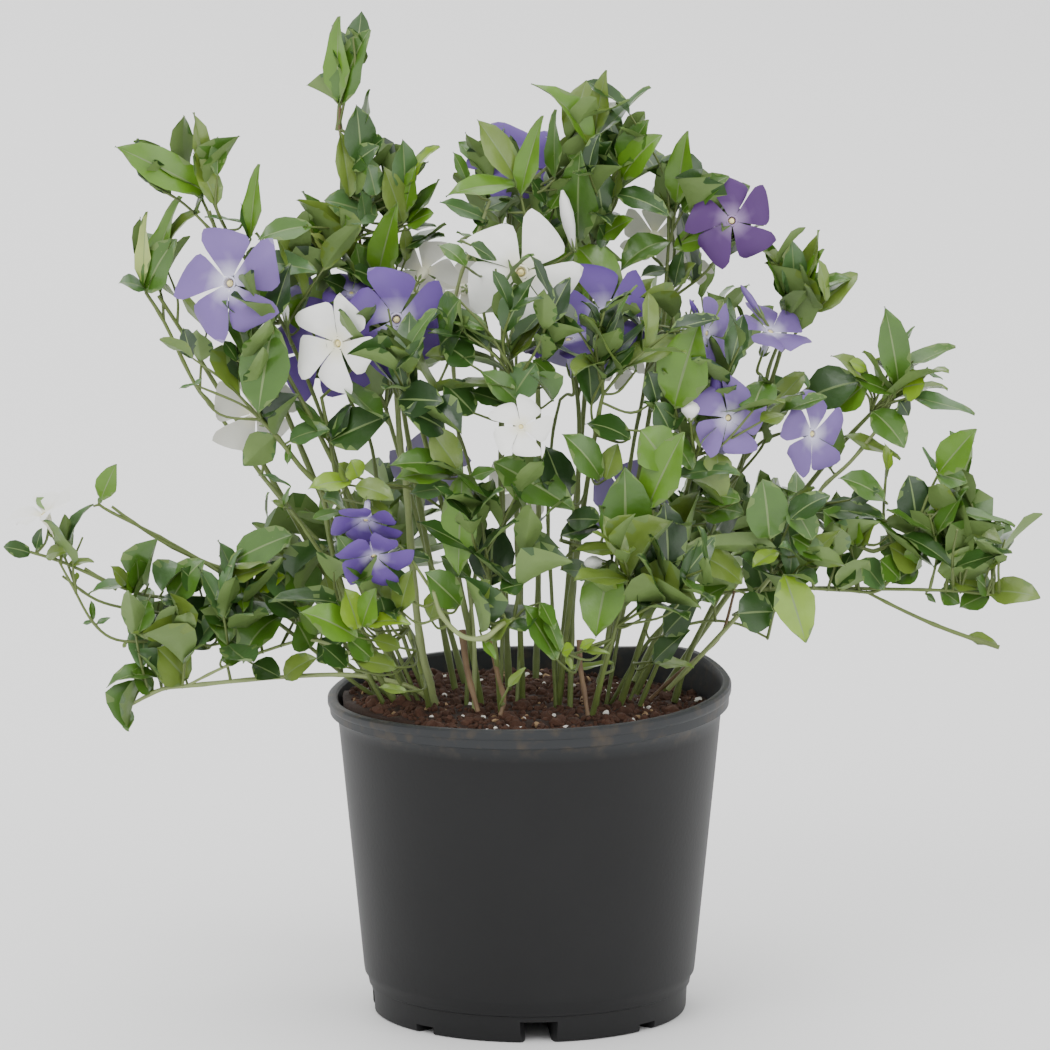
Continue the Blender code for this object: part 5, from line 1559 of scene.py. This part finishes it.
class BuildTwigs(bpy.types.Operator):
    """Grow the twigs and flower stalks that carry the leaves and flowers"""
    bl_idname = "periwinkle.twigs"
    bl_label = "Twigs and stalks"

    def execute(self, context):
        if not PLANT.stalks:
            raise RuntimeError("The flowers have to be built before their stalks")
        green = tuple(context.scene.periwinkle_stems.green)
        twig = surface("twig_green", scaled(green, 0.9), 0.5, 0.25, 200.0, 0.3, 1500.0)
        stalk = surface("stalk_green", scaled(green, 1.15), 0.5, 0.2, 200.0, 0.3, 1500.0)
        finish_piece(stem_piece("leaf_twigs", PLANT.twigs, twig))
        finish_piece(stem_piece("flower_stalks", PLANT.stalks, stalk))
        return {"FINISHED"}


def soft_light(name, place, size, power):
    """A round soft light that looks at the middle of the plant."""
    light = bpy.data.lights.new(name, "AREA")
    light.shape = "DISK"
    light.size = size
    light.energy = power
    obj = new_object(name, light)
    obj.location = place
    obj.rotation_euler = (Vector((0, 0, 0.17)) - Vector(place)).to_track_quat("-Z", "Y").to_euler()


class BuildStage(bpy.types.Operator):
    """Lay the pale floor, hang the soft lights and set the camera"""
    bl_idname = "periwinkle.stage"
    bl_label = "Stage"

    def execute(self, context):
        settings = context.scene.periwinkle_stage
        half = 8.0
        corners = [(-half, -half, 0), (half, -half, 0), (half, half, 0), (-half, half, 0)]
        floor = mesh_object("floor", corners, [(0, 1, 2, 3)], smooth=False)
        floor.data.materials.append(surface("pale_floor", tuple(settings.floor), 0.75, 0.01, 3.0, 0.0, 50.0))
        soft_light("key_light", (-0.9, -1.6, 1.9), 1.5, settings.key)
        soft_light("fill_light", (1.5, -1.3, 0.9), 1.6, settings.key * 0.40)
        soft_light("top_light", (0.2, 0.4, 2.2), 1.8, settings.key * 0.65)
        soft_light("back_light", (-0.6, 1.9, 1.2), 1.6, settings.key * 0.40)
        world = context.scene.world or bpy.data.worlds.new("studio")
        context.scene.world = world
        world.use_nodes = True
        background = world.node_tree.nodes["Background"]
        background.inputs["Color"].default_value = (1.0, 1.0, 1.0, 1.0)
        background.inputs["Strength"].default_value = 1.35
        camera = bpy.data.cameras.new("front_camera")
        camera.sensor_width = SENSOR_MM
        camera.lens = CAMERA_AWAY * SENSOR_MM / (PICTURE * PIXEL)
        camera.clip_end = 50.0
        view = new_object("front_camera", camera)
        view.location = AIM + TOWARD * CAMERA_AWAY
        view.rotation_euler = (math.pi / 2 - VIEW_RISE, 0.0, 0.0)
        context.scene.camera = view
        return {"FINISHED"}


OPERATORS = (BuildPot, BuildSoil, BuildStems, BuildLeaves, BuildFlowers, BuildTwigs, BuildStage)
SETTINGS = (
    ("periwinkle_pot", PotSettings, ("plastic", "steps")),
    ("periwinkle_soil", SoilSettings, ("mix", "crumb")),
    ("periwinkle_stems", StemSettings, ("green", "sides")),
    ("periwinkle_leaves", LeafSettings, ("size", "underside")),
    ("periwinkle_flowers", FlowerSettings, ("eye",)),
    ("periwinkle_stage", StageSettings, ("floor", "key")),
)


class PeriwinklePanel(bpy.types.Panel):
    """The potted periwinkle's pieces and settings"""
    bl_idname = "VIEW3D_PT_periwinkle"
    bl_label = "Potted periwinkle"
    bl_space_type = "VIEW_3D"
    bl_region_type = "UI"
    bl_category = "Periwinkle"

    def draw(self, context):
        for operator in OPERATORS:
            self.layout.operator(operator.bl_idname)
        for name, _, fields in SETTINGS:
            for field in fields:
                self.layout.prop(getattr(context.scene, name), field)


def register():
    """Registers the settings, operators and panel."""
    for name, group, _ in SETTINGS:
        bpy.utils.register_class(group)
        setattr(bpy.types.Scene, name, bpy.props.PointerProperty(type=group))
    for operator in OPERATORS:
        bpy.utils.register_class(operator)
    bpy.utils.register_class(PeriwinklePanel)


def unregister():
    """Undoes register()."""
    bpy.utils.unregister_class(PeriwinklePanel)
    for operator in reversed(OPERATORS):
        bpy.utils.unregister_class(operator)
    for name, group, _ in reversed(SETTINGS):
        delattr(bpy.types.Scene, name)
        bpy.utils.unregister_class(group)


def main():
    """Builds everything."""
    register()
    for operator in (bpy.ops.periwinkle.pot, bpy.ops.periwinkle.soil, bpy.ops.periwinkle.stems,
                     bpy.ops.periwinkle.leaves, bpy.ops.periwinkle.flowers, bpy.ops.periwinkle.twigs,
                     bpy.ops.periwinkle.stage):
        operator()


if __name__ == "__main__":
    main()
